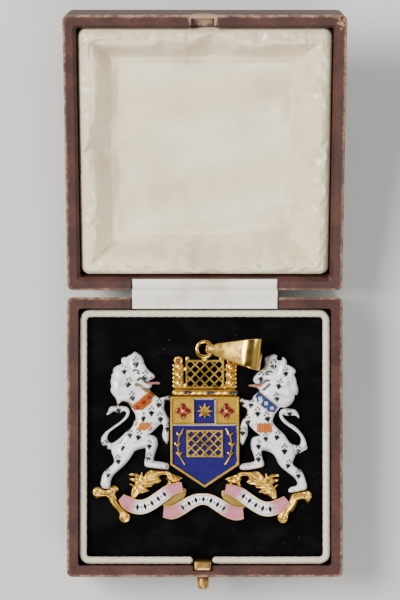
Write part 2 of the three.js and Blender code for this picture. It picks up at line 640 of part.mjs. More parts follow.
function charges() {
  const z = BACK + CHARGE.low;
  const top = z + CHARGE.thick;
  const area = { x0: -5, x1: 5, y0: -5.6, y1: 1.9 };
  piece("field_lattice", lattice(area, 4, 0.4, 0.45, z, top), MATERIALS.gold, badge);
  piece("leaf_spray_left", spray(-1), MATERIALS.gold, badge);
  piece("leaf_spray_right", spray(1), MATERIALS.gold, badge);
  const star = petals(0, 7.1, 16, (_, i) => (i % 2 ? 1.0 : 2.2));
  piece("panel_star", plate(star, z, top), MATERIALS.gold, badge);
  const ground = BACK + CHIEF.ground + GAP;
  for (const [name, x] of [["flower_left", -6.05], ["flower_right", 5.9]]) {
    const flower = petals(x, 7.1, 32, (angle) => 1.75 + 0.45 * Math.cos(4 * angle));
    const heart = new THREE.SphereGeometry(0.8, 10, 6).scale(1, 1, 0.5).translate(x, 7.1, ground + 0.35);
    piece(name, join(plate(flower, ground, ground + 0.35), heart), MATERIALS.red, badge);
  }
}

// The crest's side pieces: a scalloped column with beads outside, a loop and a finial on top.
const COLUMN = { x: 7.1, half: 1.1, top: 19.6, scallop: 1.3, foot: 1.2, tieFrom: 18.2, tieTo: 19 };
const SCALLOP_HEIGHTS = [14.7, 17, 19.3];
const BEAD = { x: 8.45, radius: 0.45, first: 14, pitch: 1.12, count: 6 };
const LOOP = { x: 7.3, y: 21, outer: 1.25, inner: 0.5 };
const FINIAL = { x: 4.7, y: 21.5, radius: 0.6, tall: 0.35 };
const WREATH = { half: 7.75, y: 12.2, strands: 6, reach: 1.3, rise: 0.25 };

function crestSide(side) {
  const top = BACK + CREST.side;
  const x = side * COLUMN.x;
  const inner = side * (CREST.half - 0.3);
  const parts = [
    box(x - COLUMN.half, x + COLUMN.half, CREST.bottom, COLUMN.top, BACK, top),
    between(inner, x, CREST.bottom, CREST.bottom + COLUMN.foot, BACK, top),
    between(inner, x, COLUMN.tieFrom, COLUMN.tieTo, BACK, top),
    post(side * FINIAL.x, FINIAL.y, FINIAL.radius, BACK, BACK + FINIAL.tall, 10),
  ];
  for (const y of SCALLOP_HEIGHTS) {
    parts.push(post(x, y, COLUMN.scallop, BACK, top, 10));
  }
  for (let k = 0; k < BEAD.count; k += 1) {
    parts.push(post(side * BEAD.x, BEAD.first + BEAD.pitch * k, BEAD.radius, BACK, top, 6));
  }
  const eye = post(side * LOOP.x, LOOP.y, LOOP.inner, BACK - 1, top + 1, 10);
  parts.push(cut(post(side * LOOP.x, LOOP.y, LOOP.outer, BACK, top), eye));
  return parts;
}

function crest() {
  const area = { x0: -CREST.half, x1: CREST.half, y0: CREST.bottom, y1: CREST.top };
  const parts = [lattice(area, 4, CREST.bar, CREST.border, BACK, BACK + CREST.thick)];
  for (const side of [-1, 1]) {
    parts.push(...crestSide(side));
  }
  const ring = new THREE.TorusGeometry(RING.radius, RING.wire, 8, 18).translate(RING.x, RING.y, RING.z);
  const foot = RING.y - RING.radius;
  const back = BACK + CREST.thick;
  parts.push(ring);
  parts.push(post(RING.x, foot - 0.2, 0.75, BACK, RING.z + 0.2, 12));
  parts.push(box(RING.x - 0.7, RING.x + 0.7, CREST.top - 0.5, foot, BACK, back));
  piece("crest", join(...parts), MATERIALS.gold, badge);

  const { half, y, strands: count, reach, rise } = WREATH;
  const strands = Array.from({ length: count }, (_, k) => {
    const x = -half + (2 * half * k) / (count - 1);
    return limb(table(
      [x - reach, y - rise, 0.55, 1.5], [x, y, 0.75, 1.7], [x + reach, y + rise, 0.5, 1.5],
    ));
  });
  piece("crest_wreath", join(...strands), MATERIALS.gold, badge);
}

// A strap bent round the suspension ring at its narrow end and open at its wide end.
function bail() {
  const drop = (small, big) => {
    const lean = Math.acos((big - small) / BAIL.reach);
    const shape = new THREE.Shape();
    shape.absarc(BAIL.reach, 0, big, -Math.PI + lean, Math.PI - lean, false);
    shape.absarc(0, 0, small, Math.PI - lean, Math.PI + lean, false);
    return shape;
  };
  const half = BAIL_PLAN.wide + 1;
  const block = (shape) => {
    const settings = { depth: 2 * half, bevelEnabled: false, curveSegments: 12 };
    const body = new THREE.ExtrudeGeometry(shape, settings);
    return body.translate(0, 0, -half).rotateX(Math.PI / 2);
  };
  const outside = drop(BAIL.small + BAIL.thick, BAIL.big + BAIL.thick);
  const strap = cut(block(outside), block(drop(BAIL.small, BAIL.big)));
  const end = BAIL.reach + BAIL.big + BAIL.thick + 1;
  const upper = [
    [end, BAIL_PLAN.wide],
    [BAIL_PLAN.neckEnd, BAIL_PLAN.neck],
    [BAIL_PLAN.loopEnd, BAIL_PLAN.loop],
    [-3, BAIL_PLAN.loop],
  ];
  const lower = upper.map(([x, y]) => [x, -y]).reverse();
  const plan = polygon([...upper, ...lower]);
  const tapered = common(strap, plate(plan, -10, 10));
  tapered.rotateY(THREE.MathUtils.degToRad(-BAIL.pitch));
  tapered.rotateZ(THREE.MathUtils.degToRad(BAIL.yaw));
  piece("bail", tapered.translate(RING.x + RING.radius - BAIL.inset, RING.y, RING.z), MATERIALS.gold, badge);
}

// Gold leafwork below the shield, drawn for the left side.
const FOLIAGE = {
  spine: table(
    [-19.4, -16.2, 0.5, 0.8], [-18.9, -14.8, 1.0, 1.0], [-17.4, -13.0, 1.5, 1.2],
    [-15.2, -11.7, 1.6, 1.3], [-12.9, -10.6, 1.0, 1.1], [-10.9, -10.2, 0.6, 0.9],
    [-9.9, -10.0, 0.5, 0.9],
  ),
  tipA: table([-17.8, -12.6, 0.9, 0.9], [-19.6, -11.1, 0.6, 0.8], [-20.8, -10.3, 0.2, 0.6]),
  tipB: table([-18.4, -13.4, 0.8, 0.9], [-19.8, -12.6, 0.5, 0.8], [-20.6, -12.2, 0.2, 0.6]),
  tipC: table([-18.8, -14.8, 0.6, 0.8], [-19.9, -14.2, 0.4, 0.7], [-20.2, -13.4, 0.2, 0.6]),
  tipD: table([-16.4, -12.0, 0.9, 0.9], [-17.1, -10.8, 0.5, 0.8], [-17.6, -10.1, 0.2, 0.6]),
  tipE: table([-14.9, -11.6, 0.9, 0.9], [-15.4, -10.4, 0.6, 0.8], [-15.9, -9.8, 0.25, 0.6]),
  tipF: table([-14.8, -12.0, 0.9, 0.9], [-13.2, -12.3, 0.5, 0.8], [-12.3, -12.4, 0.2, 0.6]),
  tipG: table([-16.4, -13.0, 1.0, 0.9], [-14.8, -13.9, 0.5, 0.8], [-13.9, -14.1, 0.2, 0.6]),
  tipH: table([-17.7, -14.2, 0.9, 0.9], [-16.4, -15.1, 0.5, 0.8], [-15.5, -15.5, 0.2, 0.6]),
  small: table([-9.9, -10.6, 0.8, 0.9], [-8.6, -11.1, 0.8, 1.0], [-7.0, -11.4, 0.4, 0.8]),
};
const BRACKET = {
  arm: table(
    [-30.2, -15.5, 0.8, 1.2], [-29.3, -15.9, 1.05, 1.3], [-28.0, -16.3, 1.0, 1.3],
    [-26.6, -16.4, 1.0, 1.4], [-25.6, -16.2, 0.9, 1.3],
  ),
  stem: table(
    [-26.4, -16.5, 1.0, 1.4], [-25.7, -18.0, 0.85, 1.3], [-24.6, -19.6, 0.8, 1.2],
    [-23.4, -21.0, 0.9, 1.3], [-22.6, -21.9, 1.3, 1.5], [-21.7, -22.2, 1.1, 1.4],
  ),
};
const BRACKET_KNOB = table(
  [-25.8, -16.0, 0.9, 1.2], [-25.0, -15.0, 0.75, 1.1], [-24.5, -14.4, 0.6, 1.0],
);
const FOLIAGE_RIGHT = { nearer: 0.5, lower: 0.3 };
const BRACKET_RIGHT = { nearer: 1, lower: 0.45 };
const mirrored = ({ nearer, lower }) => (row) => ({ ...row, x: -row.x - nearer, y: row.y - lower });

function leafwork() {
  const same = (row) => row;
  for (const [name, tables, place] of [
    ["leaf_left", FOLIAGE, same],
    ["leaf_right", FOLIAGE, mirrored(FOLIAGE_RIGHT)],
    ["bracket_left", { ...BRACKET, knob: BRACKET_KNOB }, same],
    ["bracket_right", BRACKET, mirrored(BRACKET_RIGHT)],
  ]) {
    const limbs = Object.values(tables).map((rows) => limb(rows.map(place)));
    piece(name, join(...limbs), MATERIALS.gold, badge);
  }
}

// One long ribbon in three waves, joined behind by two folds. Its tables have no height.
const WAVE_LEFT = table(
  [-23.1, -16.7, 1.15], [-21.4, -18.2, 1.9], [-19.4, -19.2, 2.05], [-17.2, -19.35, 2.05],
  [-15.0, -18.5, 1.95], [-12.6, -16.9, 1.9], [-10.2, -15.2, 1.85], [-8.2, -14.3, 1.6],
  [-6.2, -13.9, 1.4],
);
const WAVE_CENTRE = table(
  [-11.4, -20.7, 1.6], [-9.0, -20.9, 1.9], [-6.6, -19.8, 1.9], [-4.2, -18.3, 1.85],
  [-2.2, -17.4, 1.7], [-0.4, -17.2, 1.6], [1.4, -17.5, 1.7], [3.6, -18.7, 1.85], [6.2, -20.3, 1.95],
  [8.6, -21.2, 1.9], [10.6, -21.0, 1.7],
);
const FOLD = table([-6.0, -14.2, 0.9], [-6.6, -16.0, 1.3], [-9.0, -17.8, 1.5], [-11.0, -19.6, 1.5]);
const WAVE = { low: 0.6, thick: 0.9, foldThick: 0.8 };
const WAVE_RIGHT = { nearer: 0.5, lower: 0.55 };

function ribbonScroll() {
  const low = BACK + WAVE.low;
  const right = mirrored(WAVE_RIGHT);
  const tables = [WAVE_LEFT, WAVE_CENTRE, WAVE_LEFT.map(right)];
  const waves = tables.map((rows) => ribbon(rows, low, low + WAVE.thick));
  const folds = [FOLD, FOLD.map(right)].map((rows) => ribbon(rows, BACK, BACK + WAVE.foldThick));
  piece("ribbon_scroll", join(...waves, ...folds), MATERIALS.gold, badge);
}

piece("case_base", caseBase(), MATERIALS.leather);
piece("velvet_pad", velvetPad(), MATERIALS.velvet);
piece("edging_cord", edgingCord(), MATERIALS.cord);
clasp();
hinge();
piece("hinge_tape", hingeTape(), MATERIALS.tape);
piece("case_lid", caseLid(), MATERIALS.leather, lid);
piece("satin_pad", satinPad(), MATERIALS.satin, lid);
shield();
charges();
crest();
bail();
supporter("lion_left", (row) => row, [TAIL_LEFT], "collar_left", MATERIALS.orange, STRAP);
supporter("lion_right", toRight, [TAIL_RIGHT, TOES_RIGHT], "collar_right", MATERIALS.slate, null);
leafwork();
ribbonScroll();

export default group;
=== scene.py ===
import logging
import math
from collections.abc import Callable, Sequence
from dataclasses import dataclass, field
from enum import Enum

import bmesh
import bpy
import numpy as np
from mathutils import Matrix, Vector
from numpy.typing import NDArray


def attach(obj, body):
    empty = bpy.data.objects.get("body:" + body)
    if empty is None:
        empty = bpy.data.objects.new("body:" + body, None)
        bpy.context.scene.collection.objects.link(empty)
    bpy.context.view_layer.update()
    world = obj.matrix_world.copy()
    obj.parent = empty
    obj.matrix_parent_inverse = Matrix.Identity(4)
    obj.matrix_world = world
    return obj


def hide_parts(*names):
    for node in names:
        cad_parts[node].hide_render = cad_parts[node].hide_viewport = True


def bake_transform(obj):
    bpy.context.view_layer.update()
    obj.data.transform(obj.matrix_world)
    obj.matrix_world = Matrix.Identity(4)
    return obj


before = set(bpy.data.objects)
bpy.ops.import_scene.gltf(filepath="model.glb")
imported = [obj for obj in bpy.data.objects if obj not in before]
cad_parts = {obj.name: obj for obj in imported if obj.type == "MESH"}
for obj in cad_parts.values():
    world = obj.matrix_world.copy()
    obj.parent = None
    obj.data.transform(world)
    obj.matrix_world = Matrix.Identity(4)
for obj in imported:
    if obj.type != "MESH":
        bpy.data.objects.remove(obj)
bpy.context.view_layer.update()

log = logging.getLogger("badge")
Array = NDArray[np.float64]
Colour = tuple[float, float, float]
Vec = Sequence[float]
Rows = Sequence[Vec]
Form = tuple[Array, list[Array]]
Material = bpy.types.Material

# Sizes in millimetres, shared with the solids. A mesh is filled in metres.
MM = 0.001
CASE_HALF_X, CASE_HALF_Y, CASE_HEIGHT = 38.0, 38.5, 20.0
LID_DEPTH, LID_RIM = 76.6, 20.4
LID_MID_Y = CASE_HALF_Y - LID_DEPTH / 2
LID_OPEN = math.radians(-162)
AXIS = np.array([0.0, 39.3, 19.4])
VELVET_TOP = 16.2
BACK = 16.5

# Pitches of the grids that reliefs are worked out on.
VELVET_STEP, FIELD_STEP, LION_STEP, WREATH_STEP, LEAF_STEP = 0.6, 0.2, 0.125, 0.12, 0.1

# How many times its size the cloth is simulated at, and for how many frames.
CLOTH_SCALE, CLOTH_STEPS = 10, 21

# Colours of the case: hide, pile and satin, each from its ground to what lies on it.
HIDE_DARK, HIDE_LIGHT, GRAIN = (0.040, 0.012, 0.009), (0.080, 0.026, 0.019), (0.034, 0.011, 0.010)
SCUFFED, BARE = (0.30, 0.155, 0.085), (0.46, 0.30, 0.19)
PILE_DARK, PILE_LIGHT = (0.0016, 0.0016, 0.0021), (0.0042, 0.0042, 0.0052)
LINT, DUST = (0.055, 0.055, 0.06), (0.12, 0.12, 0.125)
CREAM, CREAM_STAIN = (0.88, 0.77, 0.53), (0.58, 0.46, 0.28)


class Body(Enum):
    """The two bodies that pieces ride on."""

    CASE = "case"
    LID = "lid"


def smoothstep(low: float, high: float, value: Array) -> Array:
    """Returns 0 below low, 1 above high, and the cubic 3t^2 - 2t^3 between."""
    t = np.clip((value - low) / (high - low), 0, 1)
    return t * t * (3 - 2 * t)


def joined(*parts: Array | float) -> Array:
    """Puts coordinates side by side in a last axis, each repeated as the others need."""
    return np.stack(np.broadcast_arrays(*parts), -1)


def circle(angle: Array, radius: Array | float = 1.0) -> Array:
    """Points at angles round the origin."""
    return joined(radius * np.cos(angle), radius * np.sin(angle))


def spline(points: Rows, per: int, closed: bool = False) -> Array:
    """Puts a smooth line through points, each span a cubic with its neighbours' slopes.

    Args:
        points: Rows of any number of columns.
        per: Samples for each span.
        closed: Whether the last row leads back to the first.

    Returns:
        The sampled rows.
    """
    p = np.asarray(points, float)
    if closed:
        before, start, end, after = (np.roll(p, k, axis=0)[:, None] for k in (1, 0, -1, -2))
    else:
        wide = np.concatenate([2 * p[:1] - p[1:2], p, 2 * p[-1:] - p[-2:-1]])
        before, start, end, after = (wide[k : k + len(p) - 1, None] for k in range(4))
    t = (np.arange(per) / per)[None, :, None]
    curve = start + (end - before) * t / 2 + (2 * before - 5 * start + 4 * end - after) * t**2 / 2
    curve = (curve + (3 * start - before - 3 * end + after) * t**3 / 2).reshape(-1, p.shape[1])
    return curve if closed else np.concatenate([curve, p[-1:]])


def inside_outline(x: Array, y: Array, outline: Array) -> Array:
    """Works out the signed distance to a closed outline, positive inside.

    It is the least distance to the outline's segments, and its sign comes from how often a
    ray to the right crosses them.
    """
    run = np.roll(outline, -1, axis=0) - outline
    rise = np.where(run[:, 1] == 0, 1e-9, run[:, 1])
    flat = joined(x.ravel(), y.ravel())
    found = []
    for block in np.array_split(flat, max(1, len(flat) // 4000)):
        gap = block[:, None] - outline
        along = np.clip((gap * run).sum(-1) / (run**2).sum(-1), 0, 1)
        near = np.sqrt(((gap - along[..., None] * run) ** 2).sum(-1)).min(1)
        low, high = outline[:, 1] > block[:, 1:], outline[:, 1] + run[:, 1] > block[:, 1:]
        meets = outline[:, 0] + (block[:, 1:] - outline[:, 1]) / rise * run[:, 0]
        odd = ((low != high) & (block[:, :1] < meets)).sum(1) % 2 == 1
        found.append(np.where(odd, near, -near))
    return np.concatenate(found).reshape(x.shape)


def apart(x: Array, y: Array, line: Rows, per: int) -> Array:
    """Distance to the nearest sample of a smooth line, with that many samples a span."""
    path = spline(line, per)
    return np.hypot(x[..., None] - path[:, 0], y[..., None] - path[:, 1]).min(-1)


def stroke(x: Array, y: Array, line: Rows, width: float, soft: float = 0.06) -> Array:
    """Masks a painted line: 1 within half its width of the line, fading to 0 over 2 * soft."""
    return 1 - smoothstep(width / 2 - soft, width / 2 + soft, apart(x, y, line, 12))


def groove(x: Array, y: Array, line: Rows, width: float = 0.3) -> Array:
    """Depth of a round-bottomed groove along a line: exp(-(distance / width)^2)."""
    return np.exp(-((apart(x, y, line, 8) / width) ** 2))


def polar(x: Array, y: Array) -> tuple[Array, Array]:
    """Angle and distance from the origin."""
    return np.arctan2(y, x), np.hypot(x, y)


def rotated(u: Array, v: Array, angle: float) -> tuple[Array, Array]:
    """Turns flat coordinates about the origin."""
    c, s = math.cos(angle), math.sin(angle)
    return u * c - v * s, u * s + v * c


def turns(count: int) -> Array:
    """Angles of that many points spread evenly over a whole turn."""
    return np.linspace(0, 2 * np.pi, count, endpoint=False)


def run_length(line: Array) -> Array:
    """How far along a line each of its points lies."""
    return np.concatenate([[0], np.cumsum(np.linalg.norm(np.diff(line, axis=0), axis=1))])


def mirrored(rows: Rows, right: float, up: float) -> Array:
    """Mirrors rows left to right and moves their first two columns."""
    flipped = np.array(rows, float)
    flipped[:, :2] = flipped[:, :2] * [-1, 1] + [right, up]
    return flipped


def box_around(points: Array, margin: float = 0.3) -> tuple[float, float, float, float]:
    """x0, x1, y0, y1 of the box that holds flat points and a margin."""
    (x0, y0), (x1, y1) = points.min(0) - margin, points.max(0) + margin
    return x0, x1, y0, y1


def curl(x: float, y: float, radius: float, start: float, turns: float) -> Array:
    """Points of a spiral whose radius shrinks evenly to its middle."""
    t = np.linspace(0, 1, 14)
    angle = math.radians(start) + 2 * np.pi * turns * t
    return circle(angle, radius * (1 - 0.85 * t)) + [x, y]


def dome(x: Array, y: Array, rows: Rows) -> Array:
    """Height of a limb: the highest of the half ellipsoids set along its line.

    Args:
        x, y: Where to work it out.
        rows: Centre x and y, half width and height of each section.

    Returns:
        Heights, 0 outside the limb.
    """
    cx, cy, w, h = spline(rows, 8).T
    squared = ((x[..., None] - cx) ** 2 + (y[..., None] - cy) ** 2) / w**2
    return (h * np.sqrt(np.clip(1 - squared, 0, None))).max(-1)


def soft_max(layers: Sequence[Array], blend: float) -> Array:
    """Merges heights with creases rounded over about blend: the log of their summed powers."""
    stack = np.stack(layers)
    top = stack.max(0)
    return top + blend * np.log(np.exp((stack - top) / blend).sum(0))


def grid_quads(
    rows: int, columns: int, wrap_rows: bool = False, wrap_columns: bool = True
) -> Array:
    """Numbers the four corners of each cell of a grid of points."""
    i = np.arange(rows if wrap_rows else rows - 1)[:, None]
    j = np.arange(columns if wrap_columns else columns - 1)[None]
    down, over = (i + 1) % rows, (j + 1) % columns
    corners = [i * columns + j, down * columns + j, down * columns + over, i * columns + over]
    return joined(*corners).reshape(-1, 4)


def close_ends(grid: Array) -> Form:
    """Makes a closed tube of a grid of points, each row a ring, with a fan over each end."""
    rows, columns, _ = grid.shape
    points = np.concatenate([grid.reshape(-1, 3), grid[:1].mean(1), grid[-1:].mean(1)])
    j = np.arange(columns)
    over, last = (j + 1) % columns, (rows - 1) * columns
    near = joined(j, over, rows * columns)
    far = joined(last + over, last + j, rows * columns + 1)
    return points, [grid_quads(rows, columns), near, far]


def carried(path: Array, profile: Array, side: Vec | None = None) -> Array:
    """Carries a profile along a path.

    Args:
        path: Points, one for each ring.
        profile: Offsets across and out, the same for all rings or one set for each.
        side: The direction of across where it is the same all along, or None where it is level
            and square to the path.

    Returns:
        A grid of points: path + across * side + out * (side x tangent).
    """
    run = np.gradient(path, axis=0)
    run /= np.linalg.norm(run, axis=1, keepdims=True)
    across = np.cross(run, [0, 0, 1.0]) if side is None else np.broadcast_to(side, run.shape)
    across = across / np.linalg.norm(across, axis=1, keepdims=True)
    out = np.cross(across, run)
    profile = np.broadcast_to(profile, (len(path), *profile.shape[-2:]))
    return path[:, None] + profile[..., :1] * across[:, None] + profile[..., 1:] * out[:, None]


def strip_profile(half: Array, thick: float, crown: float = 0.0, across: int = 12) -> Array:
    """Sections of a strip: a flat back, round edges and a front that rises by crown.

    Args:
        half: Half width at each section.
        thick: Thickness at the edges.
        crown: Extra height of the front's middle, as crown * (1 - s^2).
        across: Samples over the front and over the back.

    Returns:
        Offsets across and out for each section.
    """
    radius = thick * 0.35
    s = np.linspace(-1, 1, across)
    turn = np.linspace(0, np.pi / 2, 4)[1:-1]
    flat = np.asarray(half, float)[:, None] - radius
    front = joined(flat * s, thick / 2 + crown * (1 - s**2))
    back = joined(-flat * s, -thick / 2)

    def corner(sign: float, first: float) -> Array:
        """A quarter circle between two flats, from the angle first."""
        x = sign * flat + radius * np.cos(first - turn)
        y = np.sign(math.sin(first - 0.8)) * (thick / 2 - radius) + radius * np.sin(first - turn)
        return joined(x, y)

    right = [corner(1, np.pi / 2), corner(1, 0)]
    left = [corner(-1, -np.pi / 2), corner(-1, np.pi)]
    return np.concatenate([front, *right, back, *left], axis=1)


def opened(points: Array) -> Array:
    """Turns points drawn on the shut lid about the hinge to where the lid stands open."""
    c, s = math.cos(LID_OPEN), math.sin(LID_OPEN)
    return (points - AXIS) @ np.array([[1, 0, 0], [0, c, -s], [0, s, c]]).T + AXIS


def add_object(name: str, data: bpy.types.ID) -> bpy.types.Object:
    """Puts a new object with that data in the scene."""
    made = bpy.data.objects.new(name, data)
    bpy.context.scene.collection.objects.link(made)
    return made


def make_piece(
    name: str,
    points: Array,
    faces: Sequence[Array],
    material: Material,
    slot: str,
    replaces: Sequence[str] = (),
    body: Body | None = Body.CASE,
    sharp: float = 40,
    colours: Array | None = None,
    uv: Array | None = None,
) -> bpy.types.Object:
    """Fills a mesh in one go and hangs it on its body.

    Args:
        name: The piece's name.
        points: Vertices in millimetres, where they lie at rest.
        faces: Arrays of triangles or quads.
        material: Its finish.
        slot: The kind of finish. Not used.
        replaces: Solids that it stands for.
        body: What it rides on, or None where it rides on none.
        sharp: Angle in degrees past which an edge isn't smoothed.
        colours: A colour for each vertex, kept as the attribute "paint".
        uv: A place on the surface for each vertex.

    Returns:
        The piece.
    """
    mesh = bpy.data.meshes.new(name)
    sizes = np.concatenate([np.full(len(f), f.shape[1]) for f in faces])
    corners = np.concatenate([f.ravel() for f in faces]).astype(np.int32)
    mesh.vertices.add(len(points))
    mesh.vertices.foreach_set("co", (points * MM).astype(np.float32).ravel())
    mesh.loops.add(len(corners))
    mesh.loops.foreach_set("vertex_index", corners)
    mesh.polygons.add(len(sizes))
    mesh.polygons.foreach_set("loop_start", (np.cumsum(sizes) - sizes).astype(np.int32))
    mesh.update(calc_edges=True)
    if uv is not None:
        layer = mesh.uv_layers.new(name="surface")
        layer.data.foreach_set("uv", uv[corners].astype(np.float32).ravel())
    if colours is not None:
        tint = mesh.color_attributes.new("paint", "FLOAT_COLOR", "POINT")
        full = np.concatenate([colours, np.ones((len(colours), 1))], axis=1)
        tint.data.foreach_set("color", full.astype(np.float32).ravel())
    shell = bmesh.new()
    shell.from_mesh(mesh)
    bmesh.ops.recalc_face_normals(shell, faces=shell.faces)
    shell.to_mesh(mesh)
    shell.free()
    mesh.polygons.foreach_set("use_smooth", np.ones(len(sizes), bool))
    mesh.set_sharp_from_angle(angle=math.radians(sharp))
    mesh.materials.append(material)
    piece = add_object(name, mesh)
    if body:
        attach(piece, body.value)
    if replaces:
        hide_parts(*replaces)
    log.info("%s: %d vertices", name, len(points))
    return piece


@dataclass
class Relief:
    """A flat-backed form whose front is a height over its plan.

    Args:
        inside: Signed distance to the plan's edge, positive inside.
        height: Height above the back, from x, y and the distance to the edge.
        area: x0, x1, y0, y1 of the grid.
        step: The grid's pitch.
        back: Height of the flat back.
    """

    inside: Callable[[Array, Array], Array]
    height: Callable[[Array, Array, Array], Array]
    area: tuple[float, float, float, float]
    step: float
    back: float = BACK

    def build(self) -> Form:
        """Grids the plan, keeps the cells inside it and draws their border onto its edge.

        A cell that would join others by one corner only gets a neighbour. A border point moves
        against the distance's slope by the distance, so it lands on the edge. The front, the
        same cells at the back, and a wall between make the closed form.

        Returns:
            Points and faces.
        """
        x0, x1, y0, y1 = self.area
        lines = np.arange(x0, x1, self.step), np.arange(y0, y1, self.step)
        x, y = np.meshgrid(*lines, indexing="ij")
        near = self.inside(x, y)
        keep = (near[:-1, :-1] + near[1:, :-1] + near[:-1, 1:] + near[1:, 1:]) > 0
        for _ in range(2):
            keep[1:, :-1] |= keep[:-1, :-1] & keep[1:, 1:] & ~keep[:-1, 1:]
            keep[1:, 1:] |= keep[:-1, 1:] & keep[1:, :-1] & ~keep[:-1, :-1]
        number = np.arange(x.size).reshape(x.shape)
        cells = [number[:-1, :-1], number[1:, :-1], number[1:, 1:], number[:-1, 1:]]
        quads = joined(*cells)[keep]
        used, quads = np.unique(quads, return_inverse=True)
        quads = quads.reshape(-1, 4)
        x, y, count = x.ravel()[used], y.ravel()[used], len(used)
        edges = joined(quads, np.roll(quads, -1, axis=1)).reshape(-1, 2)
        border = edges[~np.isin(edges @ [count, 1], edges @ [1, count])]
        rim, nudge, least_slope = np.unique(border), 0.01, 0.2
        for _ in range(3):
            away = self.inside(x[rim], y[rim])
            slope_x = (self.inside(x[rim] + nudge, y[rim]) - away) / nudge
            slope_y = (self.inside(x[rim], y[rim] + nudge) - away) / nudge
            steep = np.clip(slope_x**2 + slope_y**2, least_slope, None)
            x[rim] -= away * slope_x / steep
            y[rim] -= away * slope_y / steep
        rise = self.height(x, y, np.clip(self.inside(x, y), 0, None))
        front, behind = joined(x, y, self.back + rise), joined(x, y, self.back)
        a, b = border.T
        wall = joined(b, a, a + count, b + count)
        return np.concatenate([front, behind]), [quads, quads[:, ::-1] + count, wall]


@dataclass(frozen=True)
class Signal:
    """A value that varies over a surface: one output socket, with sums made as Math nodes."""

    paint: "Paint"
    socket: bpy.types.NodeSocket

    def math(self, operation: str, *others: "Signal | float") -> "Signal":
        """Puts this signal and others through one Math node."""
        values = dict(enumerate((self, *others)))
        return self.paint.node("ShaderNodeMath", {"operation": operation}, values)

    def __add__(self, other: "Signal | float") -> "Signal":
        """Sum."""
        return self.math("ADD", other)

    def __radd__(self, other: float) -> "Signal":
        """Sum with a number first."""
        return self.math("ADD", other)

    def __sub__(self, other: "Signal | float") -> "Signal":
        """Difference."""
        return self.math("SUBTRACT", other)

    def __rsub__(self, other: float) -> "Signal":
        """A number less this signal."""
        return self.paint.node("ShaderNodeMath", {"operation": "SUBTRACT"}, {0: other, 1: self})

    def __mul__(self, other: "Signal | float") -> "Signal":
        """Product."""
        return self.math("MULTIPLY", other)

    def __rmul__(self, other: float) -> "Signal":
        """Product with a number first."""
        return self.math("MULTIPLY", other)

    def step(self, low: float, high: float) -> "Signal":
        """0 below low, 1 above high and smooth between, or the other way round if high is less."""
        ends = (low, high, 0.0, 1.0) if low < high else (high, low, 1.0, 0.0)
        values = dict(zip(("From Min", "From Max", "To Min", "To Max"), ends)) | {"Value": self}
        return self.paint.node("ShaderNodeMapRange", {"interpolation_type": "SMOOTHSTEP"}, values)


